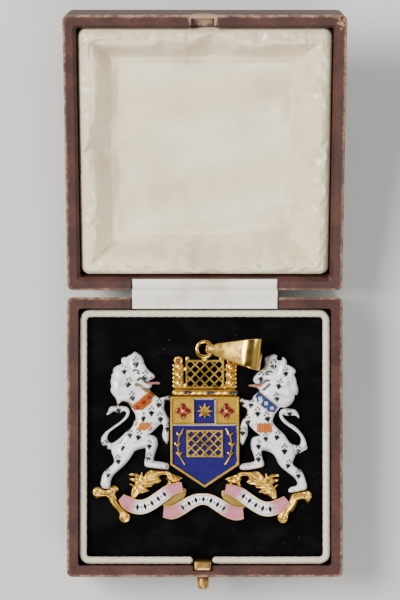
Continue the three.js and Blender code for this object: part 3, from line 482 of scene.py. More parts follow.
class Paint:
    """Builds one material: any node through one method, and its finish at the end.

    The constants number sockets that share a name or a place: the object output of texture
    coordinates, a distance, and a colour mix's factor, inputs and result.
    """

    OBJECT, DISTANCE = 3, 1
    SHARE, FIRST, SECOND, MIXED = 0, 6, 7, 2

    def __init__(self, name: str) -> None:
        """Makes an empty material of that name."""
        self.material = bpy.data.materials.new(name)
        self.material.use_nodes = True
        self.tree = self.material.node_tree
        self.tree.nodes.clear()

    def node(
        self, kind: str, settings: dict | None = None, inputs: dict | None = None, output: int = 0
    ) -> Signal:
        """Adds a node.

        Args:
            kind: The node's type.
            settings: Its own settings, set first.
            inputs: Values or signals for its sockets, by name or number.
            output: Which output to return.

        Returns:
            That output.
        """
        made = self.tree.nodes.new(kind)
        for key, value in (settings or {}).items():
            setattr(made, key, value)
        for key, value in (inputs or {}).items():
            if isinstance(value, Signal):
                self.tree.links.new(value.socket, made.inputs[key])
            else:
                made.inputs[key].default_value = value
        return Signal(self, made.outputs[output])

    def place(self, scale: Vec = (1, 1, 1), turn: float = 0.0, move: Vec = (0, 0, 0)) -> Signal:
        """Object coordinates in metres, turned about X, moved and scaled."""
        where = self.node("ShaderNodeTexCoord", output=self.OBJECT)
        if turn or any(move):
            turned = {"Vector": where, "Location": tuple(move), "Rotation": (turn, 0, 0)}
            where = self.node("ShaderNodeMapping", {}, turned)
        return self.node("ShaderNodeMapping", {}, {"Vector": where, "Scale": tuple(scale)})

    def surface(self, scale_u: float, scale_v: float) -> Signal:
        """The piece's own UV map, scaled."""
        where = self.node("ShaderNodeUVMap", {"uv_map": "surface"})
        return self.node("ShaderNodeMapping", {}, {"Vector": where, "Scale": (scale_u, scale_v, 1)})

    def noise(
        self, where: Signal, scale: float, detail: float = 4, rough: float = 0.55, warp: float = 0
    ) -> Signal:
        """Noise from 0 to 1 with that many cells for each metre."""
        values = {"Scale": scale, "Detail": detail, "Roughness": rough, "Distortion": warp}
        return self.node("ShaderNodeTexNoise", {}, {"Vector": where} | values)

    def cells(self, where: Signal, scale: float, feature: str = "F1") -> Signal:
        """Distance in a pattern of cells."""
        values = {"Vector": where, "Scale": scale}
        return self.node("ShaderNodeTexVoronoi", {"feature": feature}, values)

    def split(self, vector: Signal) -> tuple[Signal, Signal, Signal]:
        """The three parts of a vector."""
        first = self.node("ShaderNodeSeparateXYZ", {}, {0: vector})
        outputs = first.socket.node.outputs
        return first, Signal(self, outputs[1]), Signal(self, outputs[2])

    def near(self, where: Signal, point: Vec) -> Signal:
        """Distance in metres from a point given in millimetres."""
        spot = tuple(v * MM for v in point)
        ends = {0: where, 1: spot}
        return self.node("ShaderNodeVectorMath", {"operation": "DISTANCE"}, ends, self.DISTANCE)

    def mix(self, a: "Signal | Colour", b: "Signal | Colour", share: Signal) -> Signal:
        """Colour a where share is 0 and b where it is 1."""
        first, second = (c if isinstance(c, Signal) else (*c, 1) for c in (a, b))
        values = {self.SHARE: share, self.FIRST: first, self.SECOND: second}
        return self.node("ShaderNodeMix", {"data_type": "RGBA"}, values, self.MIXED)

    def finish(
        self,
        colour: Signal,
        rough: "Signal | float",
        bump: Signal | None = None,
        deep: float = 0.0,
        **constants: float,
    ) -> Material:
        """Ends the material in one shader.

        Args:
            colour: Base colour.
            rough: Roughness.
            bump: Height of the fine relief, 0 to 1.
            deep: How deep that relief is, in millimetres.
            constants: Values of other sockets, their names written with _ for a space.

        Returns:
            The material.
        """
        inputs = {key.replace("_", " "): value for key, value in constants.items()}
        inputs |= {"Base Color": colour, "Roughness": rough}
        if bump:
            relief = {"Height": bump, "Distance": deep * MM, "Strength": 1.0}
            inputs["Normal"] = self.node("ShaderNodeBump", {}, relief)
        shader = self.node("ShaderNodeBsdfPrincipled", {}, inputs)
        out = self.tree.nodes.new("ShaderNodeOutputMaterial")
        self.tree.links.new(shader.socket, out.inputs["Surface"])
        return self.material


@dataclass(frozen=True)
class Gold:
    """Gold, from polished to matted.

    Args:
        name: The material's name.
        colour: Its colour.
        rough: Its roughness.
        matting: Depth of the punched ground, in millimetres.
    """

    name: str
    colour: Colour = (0.88, 0.54, 0.10)
    rough: float = 0.22
    matting: float = 0.0

    def material(self) -> Material:
        """Colour drifts and dulls in patches, with fine wear lines or a punched ground."""
        p = Paint(self.name)
        where = p.place()
        drift = p.noise(where, 260, 3)
        colour = p.mix(tuple(c * 0.72 for c in self.colour), self.colour, drift.step(0.3, 0.62))
        scratch = p.noise(p.place((1, 7, 1)), 1900, 2)
        rough = self.rough + 0.16 * drift.step(0.68, 0.35) + 0.06 * scratch
        punched = p.cells(where, 5200) if self.matting else scratch
        return p.finish(colour, rough, punched, self.matting or 0.003, Metallic=1.0)


@dataclass(frozen=True)
class Brass:
    """Dull yellow brass of the case's fittings."""

    name: str = "brass_fittings"
    colour: Colour = (0.58, 0.36, 0.11)

    def material(self) -> Material:
        """Brown tarnish in patches over brushed metal."""
        p = Paint(self.name)
        where = p.place()
        tarnish = p.noise(where, 420, 5).step(0.42, 0.72)
        brushed = p.noise(p.place((1, 1, 12)), 2600, 2)
        colour = p.mix(self.colour, (0.16, 0.08, 0.025), 0.6 * tarnish)
        return p.finish(colour, 0.26 + 0.3 * tarnish + 0.08 * brushed, brushed, 0.006, Metallic=1.0)


@dataclass(frozen=True)
class Enamel:
    """Fired glassy enamel.

    Args:
        name: The material's name.
        colour: Its colour, or None where the piece's paint attribute gives it.
        rough: Its roughness.
    """

    name: str
    colour: Colour | None = None
    rough: float = 0.09

    def material(self) -> Material:
        """Slightly cloudy glass with a faint ripple and a few pits."""
        p = Paint(self.name)
        where = p.place()
        cloud = p.noise(where, 340, 3)
        base = self.colour or p.node("ShaderNodeAttribute", {"attribute_name": "paint"})
        deep = p.mix(base, (0, 0, 0), 0.24 * cloud.step(0.45, 0.75))
        pits = p.cells(where, 900).step(0.09, 0.03) * p.noise(where, 500, 1).step(0.5, 0.7)
        ripple = p.noise(where, 700, 2) - 0.3 * pits
        rough = self.rough + 0.05 * cloud + 0.3 * pits
        return p.finish(deep, rough, ripple, 0.02, Coat_Weight=0.35, Coat_Roughness=0.04)


class CasePart(Enum):
    """Which half of the case a leather material is for."""

    BASE = "leather_base"
    LID = "leather_lid"


@dataclass(frozen=True)
class Leather:
    """Grained leather, rubbed pale at the edges of one half of the case.

    Args:
        part: Which half.
    """

    part: CasePart

    def material(self) -> Material:
        """Edges are where two distances to the outer faces are both small.

        On the base the distances run from the half sizes and the rim. On the lid the
        coordinates are first turned back to the shut lid.
        """
        p = Paint(self.part.value)
        if self.part is CasePart.BASE:
            where = p.place()
            middle, half_y, rim, sign = 0.0, CASE_HALF_Y, CASE_HEIGHT, 1.0
        else:
            c, s = math.cos(-LID_OPEN), math.sin(-LID_OPEN)
            y, z = AXIS[1:] * MM
            where = p.place(turn=-LID_OPEN, move=(0, y - (c * y - s * z), z - (s * y + c * z)))
            middle, half_y, rim, sign = LID_MID_Y, LID_DEPTH / 2, LID_RIM, -1.0
        x, y, z = p.split(where)
        to_x = CASE_HALF_X * MM - x.math("ABSOLUTE")
        to_y = half_y * MM - (y - middle * MM).math("ABSOLUTE")
        to_rim = sign * (rim * MM - z)
        blotch = p.noise(where, 150, 5, 0.6)
        fine = p.noise(where, 900, 4, 0.65)
        side = to_x.math("MINIMUM", to_y)
        ragged = 0.0011 * fine + 0.0007 * blotch - 0.0009
        rim_edge = (side.math("MAXIMUM", to_rim) - ragged).step(0.0009, 0.0001)
        corner = (to_x.math("MAXIMUM", to_y) - ragged).step(0.0016, 0.0002)
        patchy = 0.35 + 0.65 * p.noise(where, 420, 3).step(0.38, 0.6)
        worn = rim_edge.math("MAXIMUM", corner) * patchy
        if self.part is CasePart.LID:
            notch = p.near(where, (-0.4, -37.2, LID_RIM)) - ragged * 1.4
            mitre = p.near(where, (36.6, -36.4, LID_RIM)) - ragged * 2.5
            torn = mitre.step(0.0024, 0.0012) * fine.step(0.46, 0.58)
            worn = worn.math("MAXIMUM", notch.step(0.0042, 0.0032)).math("MAXIMUM", torn)
        scuffs = p.noise(p.place((1, 0.35, 1)), 520, 6, 0.7, 0.6).step(0.66, 0.74)
        grain = p.cells(where, 1500, "SMOOTH_F1")
        crease = p.noise(where, 2600, 3)
        colour = p.mix(HIDE_DARK, HIDE_LIGHT, blotch.step(0.35, 0.68))
        colour = p.mix(colour, GRAIN, grain.step(0.42, 0.75) * 0.5)
        colour = p.mix(colour, SCUFFED, scuffs * 0.45)
        colour = p.mix(colour, BARE, worn * 0.8)
        rough = 0.46 + 0.16 * blotch + 0.14 * worn
        relief = (1 - grain) * 0.7 + 0.3 * crease
        return p.finish(colour, rough, relief, 0.05, Specular_IOR_Level=0.35)


@dataclass(frozen=True)
class Velvet:
    """Black pile with grey lint."""

    name: str = "black_velvet"

    def material(self) -> Material:
        """Near-black pile brushed in patches, with short pale fibres and specks of dust."""
        p = Paint(self.name)
        where = p.place()
        brushed = p.noise(p.place((1, 1.6, 1)), 95, 4, 0.6, 0.4)
        lint = p.noise(p.place((1, 0.22, 1)), 1500, 3, 0.6, 1.2).step(0.70, 0.78)
        dust = p.cells(where, 420).step(0.075, 0.04) * p.noise(where, 260, 2).step(0.52, 0.62)
        colour = p.mix(PILE_DARK, PILE_LIGHT, brushed.step(0.4, 0.66))
        colour = p.mix(colour, LINT, 0.35 * lint)
        colour = p.mix(colour, DUST, 0.55 * dust)
        pile = p.noise(where, 5200, 2)
        matt = {"Sheen_Weight": 0.012, "Sheen_Roughness": 0.4, "Specular_IOR_Level": 0.04}
        return p.finish(colour, 0.95, pile, 0.08, **matt)


@dataclass(frozen=True)
class Weave:
    """Woven cloth read from the piece's own surface map, in threads for each millimetre.

    Args:
        name: The material's name.
        colour: The yarn's colour.
        along, over: Threads for each millimetre along u and v.
        rough: Its roughness.
        deep: Depth of the weave, in millimetres.
        float_share: How much of the warp floats on top: 0 for a plain weave, 1 for satin.
        aged: The colour of its stains.
        constants: Fixed values of the shader.
    """

    name: str
    colour: Colour
    along: float
    over: float
    rough: float
    deep: float
    float_share: float = 0.0
    aged: Colour = (0.60, 0.50, 0.34)
    constants: dict[str, float] = field(
        default_factory=lambda: {"Sheen_Weight": 0.12, "Sheen_Roughness": 0.4}
    )

    def material(self) -> Material:
        """Threads are two sine waves, swapped over and under by their product's sign, with painted
        shade between them.
        """
        p = Paint(self.name)
        where = p.surface(1, 1)
        u, v, _ = p.split(where)
        warp = (u * (self.over * math.pi)).math("SINE")
        weft = (v * (self.along * math.pi)).math("SINE")
        plain = warp.math("ABSOLUTE") * (1 - self.float_share) + weft.math("ABSOLUTE")
        slub = p.noise(p.surface(0.25, 3.0), 1.1, 3)
        stain = p.noise(p.place(), 70, 5, 0.6)
        dark, bright = (tuple(min(1, c * k) for c in self.colour) for k in (0.62, 1.1))
        # Painted shade: the gaps between the threads are darkened towards dark, 0.62 of the yarn's
        # colour.
        between = plain.step(0.55, 0.1) * 0.35 * (1 - self.float_share)
        colour = p.mix(self.colour, self.aged, 0.6 * stain.step(0.42, 0.72))
        colour = p.mix(colour, dark, between)
        colour = p.mix(colour, bright, slub.step(0.5, 0.75) * 0.4)
        rough = self.rough + 0.1 * slub
        return p.finish(colour, rough, plain * 0.6 + slub * 0.4, self.deep, **self.constants)


def dress(node: str, material: Material, bevel: float = 0.0) -> None:
    """Gives a solid its finish and, with a bevel in millimetres, softens its edges."""
    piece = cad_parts[node]
    piece.data.materials.clear()
    piece.data.materials.append(material)
    if bevel:
        merged, sharp = 0.002, 28
        piece.modifiers.new("merge", "WELD").merge_threshold = merged * MM
        soft = piece.modifiers.new("soft_edges", "BEVEL")
        soft.width, soft.segments, soft.limit_method = bevel * MM, 2, "ANGLE"
        soft.angle_limit = math.radians(sharp)
        piece.data.polygons.foreach_set("use_smooth", np.ones(len(piece.data.polygons), bool))
        piece.modifiers.new("normals", "WEIGHTED_NORMAL").keep_sharp = True


def inflate(
    points: Array, faces: Array, held: Array, push: float, slack: float, cap: float
) -> Array:
    """Lets air pressure puff and crease a cloth whose edges are held.

    The cloth is simulated CLOTH_SCALE times its size, where the solver is at its best.

    Args:
        points: Vertices in millimetres.
        faces: Its quads.
        held: How firmly each vertex is held, 0 to 1.
        push: Pressure.
        slack: Share by which the cloth is larger than its frame.
        cap: The furthest that a point may move, in millimetres.

    Returns:
        The settled vertices.
    """
    scale = CLOTH_SCALE * MM
    mesh = bpy.data.meshes.new("cloth")
    mesh.from_pydata((points * scale).tolist(), [], faces.tolist())
    cloth = add_object("cloth", mesh)
    group = cloth.vertex_groups.new(name="held")
    for level in np.unique(np.round(held, 1)):
        group.add(np.flatnonzero(np.round(held, 1) == level).tolist(), float(level), "REPLACE")
    made = cloth.modifiers.new("cloth", "CLOTH").settings
    made.quality, made.mass, made.air_damping = 5, 0.15, 4
    made.tension_stiffness = made.compression_stiffness = 12
    made.shear_stiffness, made.bending_stiffness = 5, 6
    made.vertex_group_mass, made.shrink_min = "held", -slack
    made.use_pressure, made.uniform_pressure_force = True, push
    made.effector_weights.gravity = 0
    for step in range(CLOTH_STEPS):
        bpy.context.scene.frame_set(1 + step)
    moved = cloth.evaluated_get(bpy.context.evaluated_depsgraph_get()).to_mesh()
    found = np.empty(len(moved.vertices) * 3)
    moved.vertices.foreach_get("co", found)
    bpy.context.scene.frame_set(1)
    bpy.data.objects.remove(cloth)
    shift = found.reshape(-1, 3) / scale - points
    length = np.linalg.norm(shift, axis=1, keepdims=True)
    return points + shift * np.minimum(1, cap / np.maximum(length, 1e-9))


@dataclass
class SatinLining:
    """The lid's padded satin: a puffed roll round a flat panel.

    Args:
        half_x, half_y: Half sizes of its frame.
        corner: Radius of its corners.
        hidden: Height of its back.
        roll: Inset from the frame and height above the lid's rim, from the tucked edge inwards.
        count: Lines of its grid each way.
        puff: Pressure, slack and furthest move of its cloth.
    """

    half_x: float = 34.2
    half_y: float = 34.5
    corner: float = 2.5
    hidden: float = LID_RIM + 11.7
    roll: Rows = (
        (0, 3.4), (0.5, 2.0), (1.5, 1.1), (2.8, 0.8), (4.2, 1.3),
        (5.6, 2.9), (7.0, 5.1), (8.3, 6.4), (10.5, 7.0), (40, 7.0),
    )
    count: int = 150
    puff: tuple[float, float, float] = (1.2, 0.02, 1.0)

    def plan(self) -> tuple[Array, Array, Array]:
        """Grids the frame and measures how far each point is from its edge.

        Lines are drawn closer together at the edges, as sin does, and corners are rounded by
        pulling points towards the middle of their corner's arc.
        """
        t = np.linspace(-1, 1, self.count)
        t = 0.55 * t + 0.45 * np.sin(t * np.pi / 2)
        x, y = np.meshgrid(t * self.half_x, t * self.half_y, indexing="ij")
        over_x = np.clip(np.abs(x) - (self.half_x - self.corner), 0, None)
        over_y = np.clip(np.abs(y) - (self.half_y - self.corner), 0, None)
        reach, wide = np.hypot(over_x, over_y), np.maximum(over_x, over_y)
        pull = np.where(reach > 0, wide / np.maximum(reach, 1e-9), 1)
        x = np.sign(x) * (np.abs(x) - over_x + over_x * pull)
        y = np.sign(y) * (np.abs(y) - over_y + over_y * pull)
        edge = np.minimum(self.half_x - np.abs(x), self.half_y - np.abs(y))
        round_edge = self.corner - reach * pull
        return x, y, np.where((over_x > 0) & (over_y > 0), np.minimum(edge, round_edge), edge)

    def creases(self, x: Array, y: Array, edge: Array) -> Array:
        """Height of the gathers: sine ripples square to the edge, strongest over the roll.

        Their spacing and strength drift with slow sines, and they fan out at the corners. A dip
        lies beside the lid's notch, and two slow sines rock the panel.
        """
        share_x, share_y = np.abs(x) / self.half_x, np.abs(y) / self.half_y
        turn = np.arctan2(y / self.half_y, x / self.half_x)
        along = np.where(share_x > share_y, y, x)
        drift = np.sin(along * 0.31 + 1.7 * turn) + 0.7 * np.sin(along * 0.83 + 5 * turn + 1)
        fold = np.sin(along * 0.42 + 1.1 * drift) * (0.4 + 0.6 * smoothstep(0.0, 1.5, drift))
        pinch = np.sin(14 * turn) * smoothstep(0.70, 0.98, np.minimum(share_x, share_y))
        over = np.exp(-(((edge - 6.5) / 3.4) ** 2))
        dip = 1.3 * np.exp(-(((x - 1) / 5.0) ** 2)) * np.exp(-(((y + self.half_y - 5) / 3.5) ** 2))
        rock = 0.62 * np.sin(0.25 * y + 0.05 * x + 0.6) + 0.25 * np.sin(0.21 * x - 0.1 * y)
        panel = rock * smoothstep(8, 14, edge)
        return 0.34 * fold * over + 0.22 * pinch * over + dip + panel

    def build(self, satin: Material) -> None:
        """Shapes the front, lets it puff, closes it behind and hangs it in the lid.

        On the roll's inner side it stays behind its own profile, which leaves room for the bail
        when the lid is shut.
        """
        x, y, edge = self.plan()
        inset, height = np.array(self.roll).T
        z = LID_RIM + np.interp(edge, inset, height) + self.creases(x, y, edge)
        front = joined(x, y, z).reshape(-1, 3)
        quads = grid_quads(self.count, self.count, wrap_columns=False)[:, ::-1]
        near = edge.ravel()
        held = np.maximum(1 - smoothstep(0.2, 1.2, near), 0.9 * smoothstep(7.5, 10.0, near))
        front = inflate(front, quads, held, *self.puff)
        room = 0.05 + 0.9 * (smoothstep(6.2, 4.2, near) + smoothstep(9.0, 12.0, near))
        reach = LID_RIM + np.interp(near, inset, height) - room
        front[:, 2] = np.clip(np.maximum(front[:, 2], reach), LID_RIM + 0.1, self.hidden - 0.5)
        number = np.arange(self.count**2).reshape(self.count, self.count)
        sides = [number[:-1, 0], number[-1, :-1], number[:0:-1, -1], number[0, :0:-1]]
        ring = np.concatenate(sides)
        behind = front[ring] * [1, 1, 0] + [0, 0, self.hidden]
        total, size = len(front), len(ring)
        k = np.arange(size)
        after = (k + 1) % size
        wall = joined(ring[after], ring, total + k, total + after)
        back = joined(total + k, total + after, total + size)
        points = np.concatenate([front, behind, [[0, 0, self.hidden]]])
        points[:, 1] += LID_MID_Y
        pad = make_piece(
            "satin_lining", opened(points), [quads, wall, back], satin, "satin",
            ["satin_pad"], Body.LID, 60, uv=points[:, :2],
        )


@dataclass
class CaseInside:
    """Velvet bed, edging cord, hinge tape and brass catch.

    Args:
        bed: Half sizes of the velvet.
        tray: Height of the tray's floor under it.
        cord_half: Half sizes of the cord's middle line.
        cord_radius, cord_z: The cord's radius and height.
        cord_corner: Radius of the line's corners.
        gap: Where the cord stops at each side of the catch.
        tape_half, tape_thick: Half width and thickness of the tape.
        catch, catch_half: Middle and half sizes of the catch's plan.
        button: Middle of the push button's root.
    """

    bed: tuple[float, float] = (34.6, 35.1)
    tray: float = 2.3
    cord_half: tuple[float, float] = (33.6, 34.1)
    cord_radius: float = 1.0
    cord_z: float = 17.5
    cord_corner: float = 2.0
    gap: tuple[float, float] = (-3.3, 2.1)
    tape_half: float = 20.0
    tape_thick: float = 0.42
    catch: tuple[float, float] = (-0.6, -35.25)
    catch_half: tuple[float, float] = (2.35, 1.25)
    button: tuple[float, float, float] = (-0.5, -36.7, 15.6)

    def velvet(self, material: Material) -> None:
        """A bed of velvet: height falls with exp(-edge / 0.8) and two slow sines rock it."""
        half_x, half_y = self.bed

        def inside(x: Array, y: Array) -> Array:
            """Distance to a rectangle."""
            return np.minimum(half_x - np.abs(x), half_y - np.abs(y))

        def height(x: Array, y: Array, edge: Array) -> Array:
            """Height over the tray's floor."""
            rock = 0.05 * np.sin(0.21 * x + 0.4) * np.sin(0.17 * y - 0.9)
            return VELVET_TOP - self.tray - 0.05 + rock - 0.6 * np.exp(-edge / 0.8)

        area = (-half_x, half_x + VELVET_STEP, -half_y, half_y + VELVET_STEP)
        relief = Relief(inside, height, area, VELVET_STEP, self.tray)
        bed = make_piece("velvet_bed", *relief.build(), material, "velvet", ["velvet_pad"])

    def edging(self, material: Material) -> None:
        """A cloth-covered cord: a circle carried round a rounded rectangle.

        Its radius swells a little with three turns of yarn and closes as a half ellipse at
        each end.
        """
        (x, y), turn, rings = self.cord_half, self.cord_corner, 1400
        arc = np.linspace(0, np.pi / 2, 24)
        bends = []
        for right, up, degrees in ((1, -1, -90), (1, 1, 0), (-1, 1, 90), (-1, -1, 180)):
            middle = right * (x - turn), up * (y - turn)
            bends.append(circle(arc + math.radians(degrees), turn) + middle)
        line = np.concatenate([[[self.gap[1], -y]], *bends, [[self.gap[0], -y]]])
        far = run_length(line)
        s = np.linspace(0, far[-1], rings)
        path = joined(*(np.interp(s, far, line[:, k]) for k in (0, 1)), self.cord_z)
        ends, v = np.minimum(s, far[-1] - s)[:, None], turns(20)
        taper = np.sqrt(np.clip(1 - (1 - np.clip(ends / 0.9, 0.02, 1)) ** 2, 0.01, 1))
        yarn = 0.025 * np.cos(3 * v - s[:, None] * 2.6) + 0.012 * np.sin(s[:, None] * 0.7)
        radius = self.cord_radius * taper * (1 + yarn)
        points, faces = close_ends(carried(path, circle(v, radius)))
        around = joined(s[:, None], v * self.cord_radius).reshape(-1, 2)
        uv = np.concatenate([around, [[0, 0], [far[-1], 0]]])
        make_piece(
            "edging_piping", points, faces, material, "cord", ["edging_cord"], sharp=80, uv=uv
        )

    def tape(self, material: Material) -> None:
        """A woven tape glued to both rims: a strip carried over the hinge's knuckles."""
        back, rim = AXIS[1], LID_RIM + 0.62 - AXIS[2]
        lean = LID_OPEN + math.pi
        behind = np.array([1.2, 2.2, 3.4, 3.9])
        lid_y = back + behind * math.cos(lean) + rim * math.sin(lean)
        lid_z = AXIS[2] + behind * math.sin(lean) - rim * math.cos(lean)
        row_y = np.concatenate([back + np.array([-3.9, -3.0, -1.6, -0.6, 0.3, 1.1]), lid_y])
        row_z = np.concatenate([AXIS[2] + np.array([0.15, 0.17, 0.5, 1.02, 1.2, 0.78]), lid_z])
        path = joined(0, *spline(joined(row_y, row_z), 7).T)
        half = np.full(len(path), self.tape_half)
        grid = carried(path, strip_profile(half, self.tape_thick, 0, 60))
        selvedge = np.abs(grid[..., 0]) > self.tape_half - 0.5
        grid[..., 0] += 0.12 * np.sin(np.arange(len(path)) * 1.9)[:, None] * selvedge
        points, faces = close_ends(grid)
        far = run_length(path)
        along = np.append(np.repeat(far, grid.shape[1]), [0, far[-1]])
        tape = make_piece(
            "hinge_webbing", points, faces, material, "tape", ["hinge_tape"], None, 60,
            uv=joined(points[:, 0], along),
        )
        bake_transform(tape)

    def brass(self, material: Material) -> None:
        """The catch is a loft of rounded rectangles. The button is turned, its profile a dome."""
        ring, squareness = circle(turns(48)), 0.32
        rounded = np.sign(ring) * np.abs(ring) ** squareness
        heights = BACK + np.array([0, 4.5, 4.85, 5.0, 5.08, 5.1])[:, None]
        sizes = np.array([1, 1, 0.97, 0.9, 0.75, 0.3])[:, None, None]
        plan = rounded * self.catch_half * sizes + self.catch
        loft = joined(plan[..., 0], plan[..., 1], heights)
        x, y, z = self.button
        out = y - np.array([0, 1.9, 2.2, 4.9, 5.25, 5.5, 5.6])[:, None]
        radii = np.array([1.35, 1.35, 1.6, 1.6, 1.5, 1.15, 0.5])[:, None]
        lathe = joined(radii * ring[:, 0] + x, out, radii * ring[:, 1] + z)
        for name, grid, node in (
            ("brass_catch", loft, "clasp_catch"), ("brass_button", lathe, "push_button")
        ):
            make_piece(name, *close_ends(grid), material, "brass", [node], sharp=50)


@dataclass
class PresentationCase:
    """The whole case: leather halves, cloth inside and brass fittings."""

    inside: CaseInside = field(default_factory=CaseInside)
    lining: SatinLining = field(default_factory=SatinLining)

    def build(self) -> None:
        """Dresses the solids that stay and makes the rest."""
        dress("case_base", Leather(CasePart.BASE).material(), 0.25)
        dress("case_lid", Leather(CasePart.LID).material(), 0.25)
        brass = Brass().material()
        for node in ("hinge_leaf_case", "hinge_leaf_lid", "hinge_pin"):
            dress(node, brass)
        self.inside.velvet(Velvet().material())
        self.inside.edging(Weave("cord_cover", (0.80, 0.74, 0.58), 3.2, 3.2, 0.7, 0.05).material())
        self.inside.tape(Weave("cotton_tape", (0.93, 0.91, 0.85), 2.2, 3.0, 0.75, 0.05).material())
        self.inside.brass(brass)
        gloss = {"Specular_IOR_Level": 0.9, "Sheen_Weight": 0.1}
        satin = Weave("cream_satin", CREAM, 5.0, 5.0, 0.22, 0.012, 0.85, CREAM_STAIN, gloss)
        self.lining.build(satin.material())


# Colours of the badge's enamels. SHADE is no enamel but a mauve painted shade laid on the white.
WHITE, SHADE = (0.94, 0.93, 0.93), (0.36, 0.31, 0.40)
INK, GREY_INK = (0.010, 0.012, 0.016), (0.05, 0.05, 0.065)
AMBER, UMBER, TONGUE = (0.46, 0.13, 0.010), (0.22, 0.05, 0.006), (0.46, 0.14, 0.10)
OLIVE, GOLD_PAINT = (0.17, 0.125, 0.030), (0.66, 0.41, 0.11)
ORANGE, OXBLOOD = (0.38, 0.078, 0.012), (0.075, 0.004, 0.004)
SLATE, PALE = (0.022, 0.045, 0.15), (0.62, 0.68, 0.78)
PINK, BLUE, RED = (0.52, 0.12, 0.18), (0.020, 0.014, 0.125), (0.17, 0.010, 0.007)
LIP = (0.035, 0.033, 0.030)


class Coat:
    """Paint laid over vertices in turn, each layer a colour and a mask."""

    def __init__(self, count: int, ground: Colour) -> None:
        """Starts with one ground colour."""
        self.colours = np.tile(np.array(ground), (count, 1))

    def lay(self, colour: Colour | Array, mask: Array) -> None:
        """Puts a colour over what is there, as far as its mask."""
        share = mask[:, None]
        self.colours = self.colours * (1 - share) + np.asarray(colour) * share


@dataclass(frozen=True)
class Ermine:
    """One ermine tail: a dark club with a stem and three pale dots above it."""

    size: float = 1.42
    seed: int = 7

    def lay(self, coat: Coat, x: Array, y: Array, spots: Rows) -> None:
        """Paints a tail at each spot, each turned and sized a little by a seeded draw."""
        draw = np.random.default_rng(self.seed)
        clubs = (
            (0, -0.42, 0.42), (-0.30, -0.26, 0.27), (0.30, -0.26, 0.27),
            (0, -0.80, 0.22), (0, 0.06, 0.17),
        )
        dots = ((-0.36, 0.46, 0.22), (0.36, 0.5, 0.22), (0.02, 0.86, 0.22))
        for cx, cy in spots:
            turn, size = draw.uniform(-0.25, 0.25), self.size * draw.uniform(0.9, 1.08)
            c, s = math.cos(turn), math.sin(turn)
            u, v = ((x - cx) * c + (y - cy) * s) / size, ((y - cy) * c - (x - cx) * s) / size
            for marks, colour, soft in ((dots, GREY_INK, 0.12), (clubs, INK, 0.08)):
                away = np.min([np.hypot(u - mx, v - my) - r for mx, my, r in marks], axis=0)
                coat.lay(colour, 1 - smoothstep(-soft, soft, away))


